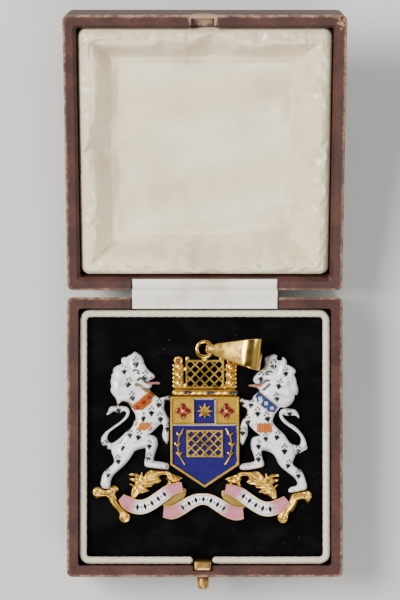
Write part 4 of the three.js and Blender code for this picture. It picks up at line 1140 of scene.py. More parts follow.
@dataclass
class Supporter:
    """A rampant lion in white enamel with its collar.

    Args:
        name: "left" or "right".
        body, tail, tongue: Outlines.
        forms: Limbs, as rows of centre x and y, half width and height.
        spots: Middles of its ermine tails.
        marks: Painted lines, those in SHADE being painted shade: colour, points, width and
            strength.
        patch: x0, x1, y0, y1 of the amber panel on its flank.
        neck: x, y and turn in degrees of its collar.
        mane: Middle of the curls' fan.
        collar, ornament: Colours of the collar and of what is painted on it.
        sign: 1 where it faces right and -1 where it faces left.
    """

    name: str
    body: Rows
    tail: Rows
    tongue: Rows
    forms: Sequence[Rows]
    spots: Rows
    marks: Sequence[tuple[Colour, Rows, float, float]]
    patch: tuple[float, float, float, float]
    neck: tuple[float, float, float]
    mane: tuple[float, float]
    collar: Colour
    ornament: Colour
    sign: float

    def __post_init__(self) -> None:
        """Smooths the outlines."""
        plans = (self.body, self.tail, self.tongue)
        self.lines = [spline(line, 4, closed=True) for line in plans]

    def inside(self, x: Array, y: Array) -> Array:
        """Distance to the edge of body, tail and tongue together."""
        return np.max([inside_outline(x, y, line) for line in self.lines], axis=0)

    def curls(self, x: Array, y: Array) -> tuple[Array, Array]:
        """Mane locks: sine ridges that wind out from the face, and where they show."""
        u, v = (x - self.mane[0]) * self.sign, y - self.mane[1]
        turn, out = polar(u, v)
        ridge = np.sin(11 * turn + 1.15 * out + 0.6 * np.sin(3 * turn))
        behind = smoothstep(0.2, 1.6, -u + 0.45 * v + 1.4)
        return ridge, smoothstep(2.6, 4.2, out) * smoothstep(8.9, 10.3, y) * behind

    def height(self, x: Array, y: Array, edge: Array) -> Array:
        """A rounded edge, (1 - exp(-edge / 0.4)), and the limbs' domes merged over it."""
        forms = soft_max([dome(x, y, rows) for rows in self.forms], 0.10) - 0.10
        ridge, there = self.curls(x, y)
        rise = 0.45 + 0.75 * (1 - np.exp(-edge / 0.40)) + 0.58 * np.clip(forms, 0, None)
        rise += 0.14 * ridge * there * smoothstep(0.1, 0.8, edge)
        tongue = inside_outline(x, y, self.lines[2])
        return np.where((tongue > -0.02) & (edge < 0.5), np.minimum(rise, 1.5), rise)

    def paint(self, x: Array, y: Array, edge: Array) -> Array:
        """White ground and mauve painted shade, then patch, marks, tongue and ermine."""
        coat = Coat(len(x), WHITE)
        ridge, there = self.curls(x, y)
        # Painted shade in the grooves between the mane's curls.
        coat.lay(SHADE, 0.34 * smoothstep(-0.1, -0.95, ridge) * there * smoothstep(0.1, 0.8, edge))
        # Painted shade along the outline, where the edge rounds over.
        coat.lay(SHADE, 0.42 * smoothstep(0.45, 0.0, edge))
        # Painted shade on slopes that fall to the lower right, away from the key light.
        fall = self.height(x - 0.2, y + 0.2, edge) - self.height(x + 0.2, y - 0.2, edge)
        coat.lay(SHADE, 0.5 * smoothstep(0.06, 0.42, fall))
        x0, x1, y0, y1 = self.patch
        away_x = np.abs(x - (x0 + x1) / 2) - (x1 - x0) / 2
        away_y = np.abs(y - (y0 + y1) / 2) - (y1 - y0) / 2
        ragged = np.maximum(away_x, away_y) + 0.16 * np.sin(5 * x) * np.sin(4 * y + 1)
        coat.lay(AMBER, (1 - smoothstep(-0.15, 0.25, ragged)) * (0.97 - 0.03 * np.sin(9 * x)))
        streak = smoothstep(0.3, 0.9, np.sin(10 * x + 1.2 * np.sin(3 * y)))
        coat.lay(UMBER, 0.6 * streak * (1 - smoothstep(-0.3, 0.1, ragged)))
        for colour, line, width, strength in self.marks:
            coat.lay(colour, strength * stroke(x, y, line, width))
        coat.lay(TONGUE, smoothstep(-0.05, 0.08, inside_outline(x, y, self.lines[2])))
        Ermine().lay(coat, x, y, self.spots)
        return coat.colours

    def build(self, enamel: Material, collar_enamel: Material) -> None:
        """Makes the lion and its collar."""
        area = box_around(np.concatenate(self.lines))
        points, faces = Relief(self.inside, self.height, area, LION_STEP).build()
        count = len(points) // 2
        x, y = points[:count, 0], points[:count, 1]
        edge = np.clip(self.inside(x, y), 0, None)
        node, colours = f"lion_{self.name}", np.tile(self.paint(x, y, edge), (2, 1))
        make_piece(
            f"enamel_{node}", points, faces, enamel, "white_enamel", [node],
            sharp=60, colours=colours,
        )
        self.build_collar(collar_enamel)

    def build_collar(self, enamel: Material) -> None:
        """Carries a strip over half an ellipse across the neck and paints it.

        It has a gold line at each side and three ornaments: four-leaved, their radius
        0.5 + 0.12 cos(4 angle), with an open middle.
        """
        cx, cy, turn = self.neck
        a = np.linspace(0.02, math.pi - 0.02, 90)
        c, s = math.cos(math.radians(turn)), math.sin(math.radians(turn))
        across, high, half, thick = 3.3, 2.62, 1.5, 0.5
        reach = across * np.cos(a)
        path = joined(cx + reach * c, cy + reach * s, BACK + high * np.sin(a))
        grid = carried(path, strip_profile(np.full(len(a), half), thick, 0.08, 32), [-s, c, 0])
        points, faces = close_ends(grid)
        u = (points[:, 0] - cx) * c + (points[:, 1] - cy) * s
        v = (points[:, 1] - cy) * c - (points[:, 0] - cx) * s
        coat = Coat(len(points), self.collar)
        for at in (-2.1, 0.0, 2.1):
            angle, out = polar(u - at, v)
            leaves = out - 0.50 - 0.12 * np.cos(4 * angle)
            coat.lay(self.ornament, 1 - smoothstep(-0.06, 0.06, leaves))
            coat.lay(self.collar, 1 - smoothstep(-0.05, 0.05, out - 0.17))
        coat.lay(GOLD_PAINT, smoothstep(1.27, 1.34, np.abs(v)))
        node = f"collar_{self.name}"
        slot = "orange_enamel" if self.sign > 0 else "slate_enamel"
        make_piece(
            f"neck_{node}", points, faces, enamel, slot, [node], sharp=50, colours=coat.colours
        )


LEFT_BODY = (
    (-19.2, 23.5), (-18.6, 23.1), (-17.9, 22.6), (-17.4, 22.1), (-17.0, 21.2), (-16.8, 20.4),
    (-16.4, 19.6), (-15.9, 18.8), (-15.2, 18.1), (-14.5, 17.5), (-13.9, 17.0), (-13.8, 16.5),
    (-14.1, 16.1), (-14.7, 15.8), (-15.4, 15.4), (-15.6, 14.9), (-15.0, 14.5), (-14.7, 14.1),
    (-15.0, 13.5), (-15.4, 13.0), (-14.4, 12.0), (-13.2, 11.1), (-12.5, 10.7), (-11.4, 11.0),
    (-10.3, 11.3), (-9.66, 11.3), (-9.62, 10.5), (-9.9, 9.8), (-11.0, 9.4), (-11.3, 8.4),
    (-11.1, 7.3), (-10.7, 6.4), (-10.1, 5.4), (-9.8, 4.5), (-9.75, 2.8), (-9.85, 1.2), (-9.9, -0.2),
    (-10.0, -1.1), (-10.5, -2.0), (-11.0, -1.4), (-11.6, -0.5), (-11.8, 0.5), (-11.6, 1.5),
    (-11.4, 2.5), (-11.6, 3.3), (-12.0, 3.55), (-12.6, 3.2), (-13.4, 2.4), (-14.3, 1.5),
    (-15.1, 0.8), (-15.7, 0.4), (-14.8, 0.45), (-13.9, 0.15), (-13.3, -0.4), (-13.05, -1.3),
    (-13.0, -2.3), (-13.3, -3.4), (-13.7, -4.5), (-14.0, -5.5), (-14.1, -6.3), (-13.7, -6.8),
    (-12.8, -6.9), (-11.4, -7.1), (-10.3, -7.4), (-9.9, -7.9), (-9.9, -8.5), (-10.2, -9.0),
    (-11.4, -9.05), (-12.8, -8.9), (-14.2, -8.65), (-15.6, -8.5), (-16.45, -8.2), (-16.75, -7.5),
    (-16.7, -6.7), (-16.45, -5.8), (-16.35, -4.7), (-16.3, -3.7), (-16.5, -3.15), (-17.3, -3.35),
    (-18.4, -3.6), (-19.3, -3.95), (-19.8, -4.6), (-20.4, -5.6), (-21.2, -6.7), (-22.3, -8.0),
    (-23.5, -9.0), (-24.6, -10.0), (-25.3, -10.8), (-25.8, -11.8), (-26.05, -12.7), (-26.05, -13.6),
    (-26.3, -14.25), (-27.0, -14.5), (-27.9, -14.35), (-28.5, -13.9), (-28.85, -13.0),
    (-28.65, -12.0), (-28.4, -10.8), (-27.95, -9.85), (-27.1, -9.0), (-26.0, -8.1), (-25.3, -7.4),
    (-25.05, -6.6), (-25.3, -5.7), (-25.7, -4.7), (-25.9, -3.6), (-26.6, -3.3), (-26.3, -2.2),
    (-25.9, -1.85), (-25.2, -1.65), (-24.4, -1.1), (-23.4, -0.3), (-22.4, 0.7), (-21.3, 1.7),
    (-20.3, 2.5), (-19.8, 3.3), (-19.5, 4.3), (-19.1, 5.5), (-19.6, 6.8), (-20.4, 8.0),
    (-21.2, 9.2), (-22.2, 9.7), (-23.1, 9.5), (-23.8, 8.9), (-24.2, 8.5), (-24.35, 9.8),
    (-24.7, 10.7), (-25.25, 11.4), (-25.8, 12.1), (-26.1, 12.9), (-25.85, 13.9), (-26.0, 14.8),
    (-26.0, 15.6), (-25.8, 16.5), (-25.8, 17.1), (-25.4, 17.7), (-25.4, 18.4), (-25.0, 19.1),
    (-24.3, 19.6), (-23.4, 19.9), (-22.95, 20.2), (-23.1, 20.9), (-23.0, 21.6), (-22.4, 22.0),
    (-21.6, 22.0), (-21.1, 22.4), (-20.4, 22.7), (-19.9, 23.1),
)
LEFT_TAIL = (
    (-25.4, -3.6), (-26.6, -3.45), (-27.4, -3.2), (-28.1, -2.6), (-28.6, -1.7), (-28.7, -0.7),
    (-28.35, 0.2), (-27.5, 1.25), (-26.4, 2.1), (-25.0, 3.1), (-23.6, 4.05), (-22.4, 5.15),
    (-21.8, 6.1), (-21.8, 6.8), (-22.3, 7.05), (-23.0, 6.8), (-23.7, 6.55), (-24.5, 6.8),
    (-25.2, 6.9), (-26.0, 6.45), (-26.7, 6.05), (-27.2, 6.1), (-26.75, 6.95), (-26.35, 8.05),
    (-25.7, 8.4), (-24.9, 8.35), (-24.2, 8.7), (-23.4, 8.5), (-22.5, 8.4), (-21.7, 8.3),
    (-21.05, 7.8), (-20.75, 6.9), (-21.0, 5.8), (-21.7, 4.85), (-22.8, 3.9), (-24.05, 2.95),
    (-25.3, 2.1), (-26.3, 1.25), (-26.85, 0.4), (-27.0, -0.4), (-26.7, -1.25), (-25.9, -1.75),
    (-24.9, -1.9),
)
LEFT_TONGUE = (
    (-15.9, 15.15), (-14.8, 15.05), (-13.6, 15.12), (-12.8, 15.12), (-12.35, 14.78), (-12.8, 14.45),
    (-13.8, 14.5), (-14.9, 14.35), (-15.8, 14.55),
)
LEFT_FORMS = (
    ((-19.6, 22.4, 1.6, 1.0), (-20.5, 20.0, 3.6, 2.3), (-21.6, 18.0, 4.2, 2.7),
     (-22.0, 15.6, 4.2, 2.8), (-22.3, 12.8, 3.8, 2.5), (-23.7, 10.6, 1.5, 1.3)),
    ((-19.4, 18.4, 3.0, 2.7), (-17.4, 18.0, 2.5, 2.6), (-16.0, 17.3, 2.0, 2.3),
     (-14.9, 16.8, 1.3, 1.7)),
    ((-19.2, 14.4, 1.5, 1.9), (-16.9, 14.1, 1.1, 1.7), (-15.8, 13.9, 0.8, 1.4)),
    ((-19.6, 12.4, 3.0, 1.8), (-17.0, 9.4, 2.9, 1.8), (-15.4, 7.6, 3.1, 2.3)),
    ((-15.4, 8.0, 3.6, 2.5), (-15.6, 5.4, 4.0, 2.7), (-16.6, 3.2, 3.4, 2.5), (-18.6, 1.0, 3.0, 2.3),
     (-20.6, -1.4, 3.2, 2.6), (-22.2, -4.0, 2.9, 2.5), (-23.3, -6.3, 2.2, 2.1),
     (-24.2, -8.0, 1.6, 1.8), (-25.7, -9.5, 1.4, 1.7), (-27.1, -11.0, 1.4, 1.7),
     (-27.4, -13.2, 1.4, 1.7)),
    ((-19.6, -1.5, 2.4, 2.7), (-17.4, -1.3, 2.0, 2.7), (-15.2, -1.2, 1.9, 2.6),
     (-14.9, -3.2, 1.7, 2.3), (-15.2, -5.2, 1.4, 2.0), (-15.5, -7.3, 1.2, 1.9)),
    ((-15.7, -7.7, 1.0, 1.9), (-13.6, -8.0, 0.9, 1.6), (-11.3, -8.1, 0.95, 1.9)),
    ((-14.4, 8.6, 1.6, 2.3), (-12.6, 9.9, 1.2, 2.0), (-10.6, 10.5, 0.9, 1.8)),
    ((-13.4, 7.4, 1.9, 2.7), (-12.0, 5.6, 1.6, 2.4), (-11.0, 3.2, 1.2, 2.0), (-10.8, 0.8, 1.0, 1.8),
     (-10.7, -0.8, 0.9, 1.7)),
    ((-26.4, -2.6, 0.9, 1.2), (-27.8, -1.4, 0.8, 1.1), (-26.6, 1.1, 0.6, 1.0),
     (-23.5, 3.5, 0.6, 0.9), (-21.5, 5.8, 0.6, 1.0), (-21.8, 7.4, 0.8, 1.1), (-24.5, 7.7, 0.8, 1.2),
     (-26.4, 7.2, 0.6, 0.9)),
)
LEFT_SPOTS = (
    (-19.0, 20.6), (-22.3, 18.5), (-16.5, 16.9), (-21.0, 15.0), (-20.0, 11.2), (-12.7, 9.3),
    (-10.6, 10.4), (-14.7, 7.1), (-17.2, 5.6), (-12.3, 5.4), (-10.3, 2.6), (-20.7, 0.9),
    (-18.2, 0.4), (-22.8, -2.4), (-27.5, -2.3), (-15.3, -2.1), (-15.5, -5.6), (-23.9, -6.3),
    (-26.7, -10.0), (-23.9, 7.8),
)
LEFT_MARKS = (
    (INK, ((-19.8, 18.2), (-18.9, 18.45), (-18.1, 17.95)), 0.5, 0.95),
    (INK, ((-18.6, 17.6), (-18.1, 17.35)), 0.5, 0.95),
    (INK, ((-14.9, 16.5), (-14.6, 16.35)), 0.4, 0.8),
    (LIP, ((-18.5, 15.7), (-17.8, 16.2), (-17.0, 15.75), (-16.3, 15.1), (-15.3, 14.9)), 0.66, 0.95),
    (OLIVE, ((-18.8, 14.4), (-17.6, 13.9), (-16.5, 13.1), (-15.9, 12.8)), 1.15, 0.95),
    (OLIVE, ((-22.7, 9.35), (-21.6, 9.1), (-20.4, 8.6)), 1.5, 0.9),
    (OLIVE, ((-20.1, 6.6), (-19.6, 5.6), (-19.3, 4.7)), 0.9, 0.9),
    # Strokes of painted shade at the back of the mane, on the thigh and under the torso.
    (SHADE, ((-23.2, 16.4), (-23.4, 14.4), (-23.9, 12.6)), 0.7, 0.4),
    (SHADE, ((-19.4, -2.0), (-18.4, -1.2), (-17.2, -0.7)), 0.8, 0.4),
    (SHADE, ((-14.6, 3.6), (-13.3, 3.7)), 0.8, 0.5),
    (GREY_INK, ((-12.0, -8.1), (-11.9, -8.7)), 0.25, 0.7),
    (GREY_INK, ((-10.6, -7.9), (-10.4, -8.6)), 0.25, 0.7),
    (GREY_INK, ((-27.9, -13.5), (-27.5, -13.4)), 0.3, 0.7),
)
RIGHT_BODY = (
    (16.8, 21.9), (17.4, 22.3), (18.0, 22.45), (18.6, 22.7), (19.3, 22.75), (19.9, 22.5),
    (20.05, 22.1), (19.8, 21.75), (20.2, 21.2), (21.0, 21.1), (21.45, 21.4), (21.4, 21.9),
    (21.9, 21.85), (22.4, 21.4), (22.65, 20.6), (22.6, 20.0), (23.3, 19.7), (24.1, 19.3),
    (24.8, 18.75), (25.2, 18.2), (24.95, 17.5), (24.7, 17.1), (25.05, 16.4), (25.35, 15.5),
    (25.4, 14.7), (25.7, 13.9), (25.9, 13.0), (25.75, 12.0), (25.4, 11.5), (24.95, 11.6),
    (24.8, 10.9), (24.6, 10.1), (24.1, 9.3), (23.5, 8.6), (22.7, 8.2), (21.8, 8.05), (20.9, 8.1),
    (20.3, 7.4), (19.6, 6.5), (19.1, 5.5), (18.75, 4.5), (19.1, 3.6), (19.9, 2.6), (21.0, 1.55),
    (22.1, 0.45), (22.85, -0.7), (23.5, -1.6), (24.4, -2.2), (25.3, -2.5), (25.6, -3.6),
    (25.3, -4.7), (24.95, -5.5), (24.5, -6.4), (24.25, -7.2), (24.7, -8.0), (25.6, -8.7),
    (26.5, -9.25), (27.1, -10.0), (27.55, -11.1), (27.9, -12.2), (28.25, -13.3), (28.15, -14.2),
    (27.7, -14.7), (26.6, -14.95), (25.5, -15.2), (24.4, -15.4), (23.4, -15.4), (23.1, -14.9),
    (23.5, -14.2), (24.4, -13.8), (25.3, -13.6), (25.6, -12.9), (25.35, -12.1), (24.65, -11.25),
    (23.5, -10.3), (22.2, -9.3), (20.95, -8.2), (20.1, -6.9), (19.5, -5.6), (18.8, -4.75),
    (17.7, -4.15), (16.6, -3.85), (15.8, -3.85), (15.65, -4.5), (15.8, -5.4), (16.15, -6.4),
    (16.4, -7.3), (16.35, -8.0), (15.5, -8.45), (14.4, -8.7), (12.7, -9.05), (11.3, -9.2),
    (10.1, -9.1), (9.66, -8.7), (9.7, -8.0), (10.4, -7.5), (11.6, -7.3), (13.0, -7.1), (13.8, -6.7),
    (13.7, -5.7), (13.3, -4.6), (12.9, -3.5), (12.75, -2.4), (12.8, -1.3), (13.2, -0.4),
    (14.0, 0.0), (14.9, 0.2), (15.4, 0.35), (14.7, 0.85), (13.7, 1.65), (12.85, 2.5), (12.2, 3.3),
    (11.95, 3.4), (11.85, 2.8), (11.9, 1.6), (11.8, 0.5), (11.4, -0.6), (10.9, -1.6), (10.5, -2.3),
    (10.0, -1.9), (9.8, -0.8), (9.75, 0.5), (9.8, 1.9), (9.95, 3.1), (10.3, 4.2), (10.9, 5.1),
    (11.5, 5.9), (11.8, 6.7), (11.75, 7.5), (11.3, 8.0), (10.6, 8.35), (9.95, 8.75), (9.66, 9.6),
    (9.66, 10.5), (10.3, 10.55), (11.3, 10.2), (12.2, 10.05), (13.1, 10.4), (13.6, 11.2),
    (14.6, 12.1), (15.2, 12.6), (14.9, 13.1), (14.6, 13.5), (15.2, 14.0), (15.0, 14.5),
    (14.2, 14.6), (13.7, 15.0), (13.4, 15.7), (13.6, 16.4), (14.1, 17.1), (14.8, 17.8),
    (15.7, 18.5), (16.3, 19.1), (16.6, 19.8), (16.65, 20.8), (16.6, 21.5),
)
RIGHT_TAIL = (
    (24.5, -4.7), (25.3, -4.8), (26.1, -4.6), (27.3, -4.0), (28.3, -3.3), (28.2, -2.1),
    (27.8, -0.8), (27.1, 0.6), (26.0, 1.95), (24.7, 3.05), (23.3, 3.9), (22.2, 4.85), (21.55, 5.7),
    (21.6, 6.05), (22.4, 5.9), (23.3, 5.75), (24.4, 5.85), (25.3, 5.7), (25.95, 5.15), (26.15, 5.5),
    (25.8, 6.5), (25.1, 7.35), (24.1, 7.7), (23.0, 7.75), (21.9, 7.7), (21.0, 7.35), (20.6, 6.5),
    (20.65, 5.6), (21.2, 4.5), (22.1, 3.6), (23.3, 2.7), (24.6, 1.8), (25.8, 0.8), (26.5, -0.3),
    (26.6, -1.3), (26.3, -2.1), (25.4, -2.5), (24.3, -2.5),
)
RIGHT_TONGUE = (
    (15.9, 14.6), (14.8, 14.35), (13.5, 14.4), (12.4, 14.35), (12.15, 14.1), (12.5, 13.9),
    (13.6, 13.7), (14.8, 13.5), (15.9, 14.0),
)
RIGHT_SPOTS = (
    (19.0, 19.9), (22.3, 17.9), (15.6, 16.5), (20.6, 14.5), (19.8, 10.9), (12.8, 9.2), (10.3, 9.7),
    (14.6, 6.9), (17.2, 5.5), (11.8, 4.6), (10.5, 1.5), (16.8, 0.0), (20.0, 0.4), (22.0, -3.4),
    (14.8, -2.1), (14.8, -5.7), (23.1, -7.5), (25.8, -10.3), (25.8, -3.5), (23.4, 6.8),
)
RIGHT_MARKS = (
    (INK, ((18.6, 17.9), (17.6, 18.05), (16.8, 17.6)), 0.5, 0.95),
    (INK, ((17.6, 17.4), (17.1, 17.15)), 0.5, 0.95),
    (INK, ((14.2, 15.9), (14.5, 15.8)), 0.4, 0.8),
    (LIP, ((17.7, 15.5), (16.9, 15.5), (16.0, 14.8), (15.1, 14.55)), 0.66, 0.95),
    ((0.035, 0.033, 0.025), ((17.9, 14.5), (17.1, 13.7), (16.3, 13.1)), 0.8, 0.9),
    # Strokes of painted shade at the back of the mane, on the thigh and under the torso.
    (SHADE, ((22.9, 16.2), (23.2, 14.2), (23.8, 12.2)), 0.7, 0.4),
    (SHADE, ((18.6, -2.4), (17.8, -1.6), (16.8, -1.0)), 0.8, 0.4),
    (SHADE, ((14.2, 3.3), (13.0, 3.3)), 0.8, 0.5),
    (GREY_INK, ((11.4, -8.2), (11.2, -8.8)), 0.25, 0.7),
    (GREY_INK, ((12.3, -7.8), (12.1, -8.3)), 0.25, 0.7),
    (GREY_INK, ((24.3, -14.4), (24.6, -14.8)), 0.3, 0.7),
)


def lions() -> list[Supporter]:
    """Sets out the two lions. The right one's limbs are the left one's, mirrored and lower."""
    right_forms = [mirrored(rows, -0.2, -0.4) for rows in LEFT_FORMS]
    left = Supporter(
        "left", LEFT_BODY, LEFT_TAIL, LEFT_TONGUE, LEFT_FORMS, LEFT_SPOTS, LEFT_MARKS,
        patch=(-19.2, -14.6, 1.8, 4.0), neck=(-16.85, 9.5, 39.8), mane=(-18.0, 15.6),
        collar=ORANGE, ornament=OXBLOOD, sign=1.0,
    )
    right = Supporter(
        "right", RIGHT_BODY, RIGHT_TAIL, RIGHT_TONGUE, right_forms, RIGHT_SPOTS, RIGHT_MARKS,
        patch=(14.4, 18.6, 1.2, 3.8), neck=(16.9, 9.25, -39.8), mane=(17.6, 15.2),
        collar=SLATE, ornament=PALE, sign=-1.0,
    )
    return [left, right]


@dataclass
class Shield:
    """The shield: a gold frame with enamel floors and the charges on them.

    Args:
        half, top, shoulder, point: Its outline.
        inset: From the outline to the enamel.
        chief: Lower edge of its upper band, and half width of the middle panel.
        floor: Height of the enamel's back.
        ground_top: Height of the enamel's front, where the charges stand.
    """

    half: float = 9.5
    top: float = 11.1
    shoulder: float = -7.7
    point: float = -14.0
    inset: float = 0.56
    chief: tuple[float, float] = (3.33, 2.94)
    floor: float = BACK + 0.7
    ground_top: float = BACK + 1.3

    def outline(self) -> Array:
        """The frame's inner edge, every side moved in by the same distance."""
        lean = math.atan2(self.shoulder - self.point, self.half)
        tip = self.point + self.inset / math.cos(lean)
        half = self.half - self.inset
        shoulder, top = tip + half * math.tan(lean), self.top - self.inset
        return np.array([(-half, shoulder), (0, tip), (half, shoulder), (half, top), (-half, top)])

    def fills(self, material: Material) -> None:
        """Two floors of enamel, each drawn up at its edge by 0.16 * exp(-edge / 0.3)."""
        line, (low, panel) = self.outline(), self.chief
        top = self.top - self.inset

        def field_edge(x: Array, y: Array) -> Array:
            """Distance inside the shield and below the chief."""
            return np.minimum(inside_outline(x, y, line), low - y)

        def panel_edge(x: Array, y: Array) -> Array:
            """Distance inside the middle panel."""
            return np.minimum(panel - np.abs(x), np.minimum(y - low - 0.35, top - y))

        def height(x: Array, y: Array, edge: Array) -> Array:
            """A shallow cushion with a drawn-up edge."""
            wave = 0.02 * np.sin(0.9 * x + 0.5) * np.sin(0.8 * y)
            return 0.36 + wave + 0.16 * np.exp(-edge / 0.3)

        for name, inside, area in (
            ("field", field_edge, (-9.6, 9.7, -14.2, 3.6)),
            ("panel", panel_edge, (-3.3, 3.4, 3.4, 10.9)),
        ):
            form = Relief(inside, height, area, FIELD_STEP, self.floor).build()
            make_piece(
                f"blue_{name}", *form, material, "blue_enamel", [f"{name}_enamel"], sharp=50
            )

    def flowers(self, red: Material, gold: Material) -> None:
        """Four-petalled flowers: radius 1.75 + 0.45 cos(4 angle), cupped, with a gold heart."""
        cy = 7.1
        for side, cx in (("left", -6.05), ("right", 5.9)):

            def inside(x: Array, y: Array, cx: float = cx) -> Array:
                """Petal radius less the distance from the middle."""
                angle, out = polar(x - cx, y - cy)
                return (1.75 + 0.45 * np.cos(4 * angle) - out) * 0.9

            def height(x: Array, y: Array, edge: Array, cx: float = cx) -> Array:
                """Each petal is hollowed along its middle and rounded at its edge."""
                angle, out = polar(x - cx, y - cy)
                vein = 0.07 * np.cos(4 * angle) ** 2 * smoothstep(0.5, 1.2, out)
                return 0.16 + 0.26 * (1 - np.exp(-edge / 0.3)) - vein

            area = (cx - 2.4, cx + 2.4, 4.7, 9.5)
            form = Relief(inside, height, area, LEAF_STEP, self.ground_top + 0.3).build()
            make_piece(f"petals_{side}", *form, red, "red_enamel", [f"flower_{side}"], sharp=50)
            heart = button_dome(cx, cy, self.ground_top + 0.45, 0.62, 0.5)
            make_piece(f"heart_{side}", *heart, gold, "gold")

    def build(self, gold: Material, frame_gold: Material, blue: Material, red: Material) -> None:
        """Dresses the gold and makes the enamels."""
        dress("shield_frame", frame_gold, 0.14)
        for node in ("field_lattice", "leaf_spray_left", "leaf_spray_right", "panel_star"):
            dress(node, gold, 0.09)
        self.fills(blue)
        self.flowers(red, gold)


def button_dome(x: float, y: float, base: float, radius: float, rise: float) -> Form:
    """A low boss: rings whose radius falls as cos and whose height grows as sin."""
    tilt = np.concatenate([[0, 0], np.linspace(0, 1.5, 7)])[:, None]
    drop = np.concatenate([[0.12, 0], np.zeros(7)])[:, None]
    angle, out = turns(28), radius * np.cos(tilt)
    level = base - drop + rise * np.sin(tilt)
    return close_ends(joined(x + out * np.cos(angle), y + out * np.sin(angle), level))


def wire_ring(centre: Vec, radius: float, wire: float) -> Form:
    """A torus lying flat: a circle of the wire's radius carried round a circle."""
    turn, around = turns(96)[:, None], turns(24)
    out, level = radius + wire * np.cos(around), wire * np.sin(around)
    grid = joined(out * np.cos(turn), out * np.sin(turn), level)
    return (grid + np.asarray(centre)).reshape(-1, 3), [grid_quads(*grid.shape[:2], wrap_rows=True)]


@dataclass
class Crest:
    """The pierced crest with its columns, the twisted wreath under it and the suspension ring.

    Args:
        column: x of the columns.
        bosses: Heights up the columns of their bosses.
        loops: x and y of the loops at their tops.
        wreath: Half length, middle y and half width of the twisted bar.
        pitch: Length of one of its strands.
        ring: Middle of the suspension ring.
        gems: Middles of the dark stones on the wreath.
    """

    column: float = 7.1
    bosses: tuple[float, ...] = (14.7, 17.0, 19.3)
    loops: tuple[float, float] = (7.3, 21.0)
    wreath: tuple[float, float, float] = (9.2, 12.15, 1.02)
    pitch: float = 1.75
    ring: tuple[float, float, float] = (-0.1, 24.2, 18.4)
    gems: tuple[tuple[float, float], ...] = ((-4.9, 12.25), (1.5, 12.15), (7.6, 12.15))

    def build_wreath(self, gold: Material, dark: Material) -> None:
        """A half-round bar whose strands are sine ridges slanting over it, with inset stones."""
        half, mid, wide = self.wreath

        def ends(x: Array) -> Array:
            """Where the bar's rounded ends begin."""
            return np.clip(np.abs(x) - (half - wide), 0, None)

        def inside(x: Array, y: Array) -> Array:
            """Distance to the bar's rounded edge, which bulges with each strand."""
            bulge = 0.07 * np.cos(2 * np.pi * (x - 0.55 * (y - mid)) / self.pitch)
            return wide + bulge - np.hypot(ends(x), y - mid)

        def height(x: Array, y: Array, edge: Array) -> Array:
            """Half round, with grooves between the strands."""
            across = np.clip(np.hypot(ends(x), y - mid) / wide, 0, 1)
            strand = np.sqrt(np.abs(np.sin(np.pi * (x - 0.9 * (y - mid)) / self.pitch)))
            return 0.35 + 1.05 * np.sqrt(1 - 0.96 * across**2) + 0.3 * strand * (1 - across**4)

        area = (-half - 0.3, half + 0.4, mid - 1.4, mid + 1.4)
        bar = Relief(inside, height, area, WREATH_STEP).build()
        make_piece("twisted_wreath", *bar, gold, "gold", ["crest_wreath"], sharp=60)
        points, faces = button_dome(0, 0, 0, 1, 1)
        for i, (x, y) in enumerate(self.gems):
            placed = points * [1.5, 0.5, 0.5] + [x, y, BACK + 1.42]
            make_piece(f"wreath_stone_{i + 1}", placed, faces, dark, "slate_enamel")

    def build(self, gold: Material, bright: Material, red: Material, dark: Material) -> None:
        """Dresses the crest and sets the bosses, stones and ring."""
        dress("crest", gold, 0.12)
        self.build_wreath(gold, dark)
        make_piece("suspension_ring", *wire_ring(self.ring, 2.1, 0.54), bright, "gold")
        for side, sign in (("left", -1), ("right", 1)):
            for i, y in enumerate(self.bosses):
                boss = button_dome(sign * self.column, y, BACK + 0.6, 1.12, 0.75)
                make_piece(f"boss_{side}_{i + 1}", *boss, gold, "gold")
            x, y = sign * self.loops[0], self.loops[1]
            stone = button_dome(x, y, BACK + 0.35, 0.62, 0.55)
            make_piece(f"stone_{side}", *stone, red, "red_enamel")
            rim = wire_ring((x, y, BACK + 0.55), 0.95, 0.27)
            make_piece(f"loop_{side}", *rim, gold, "gold")


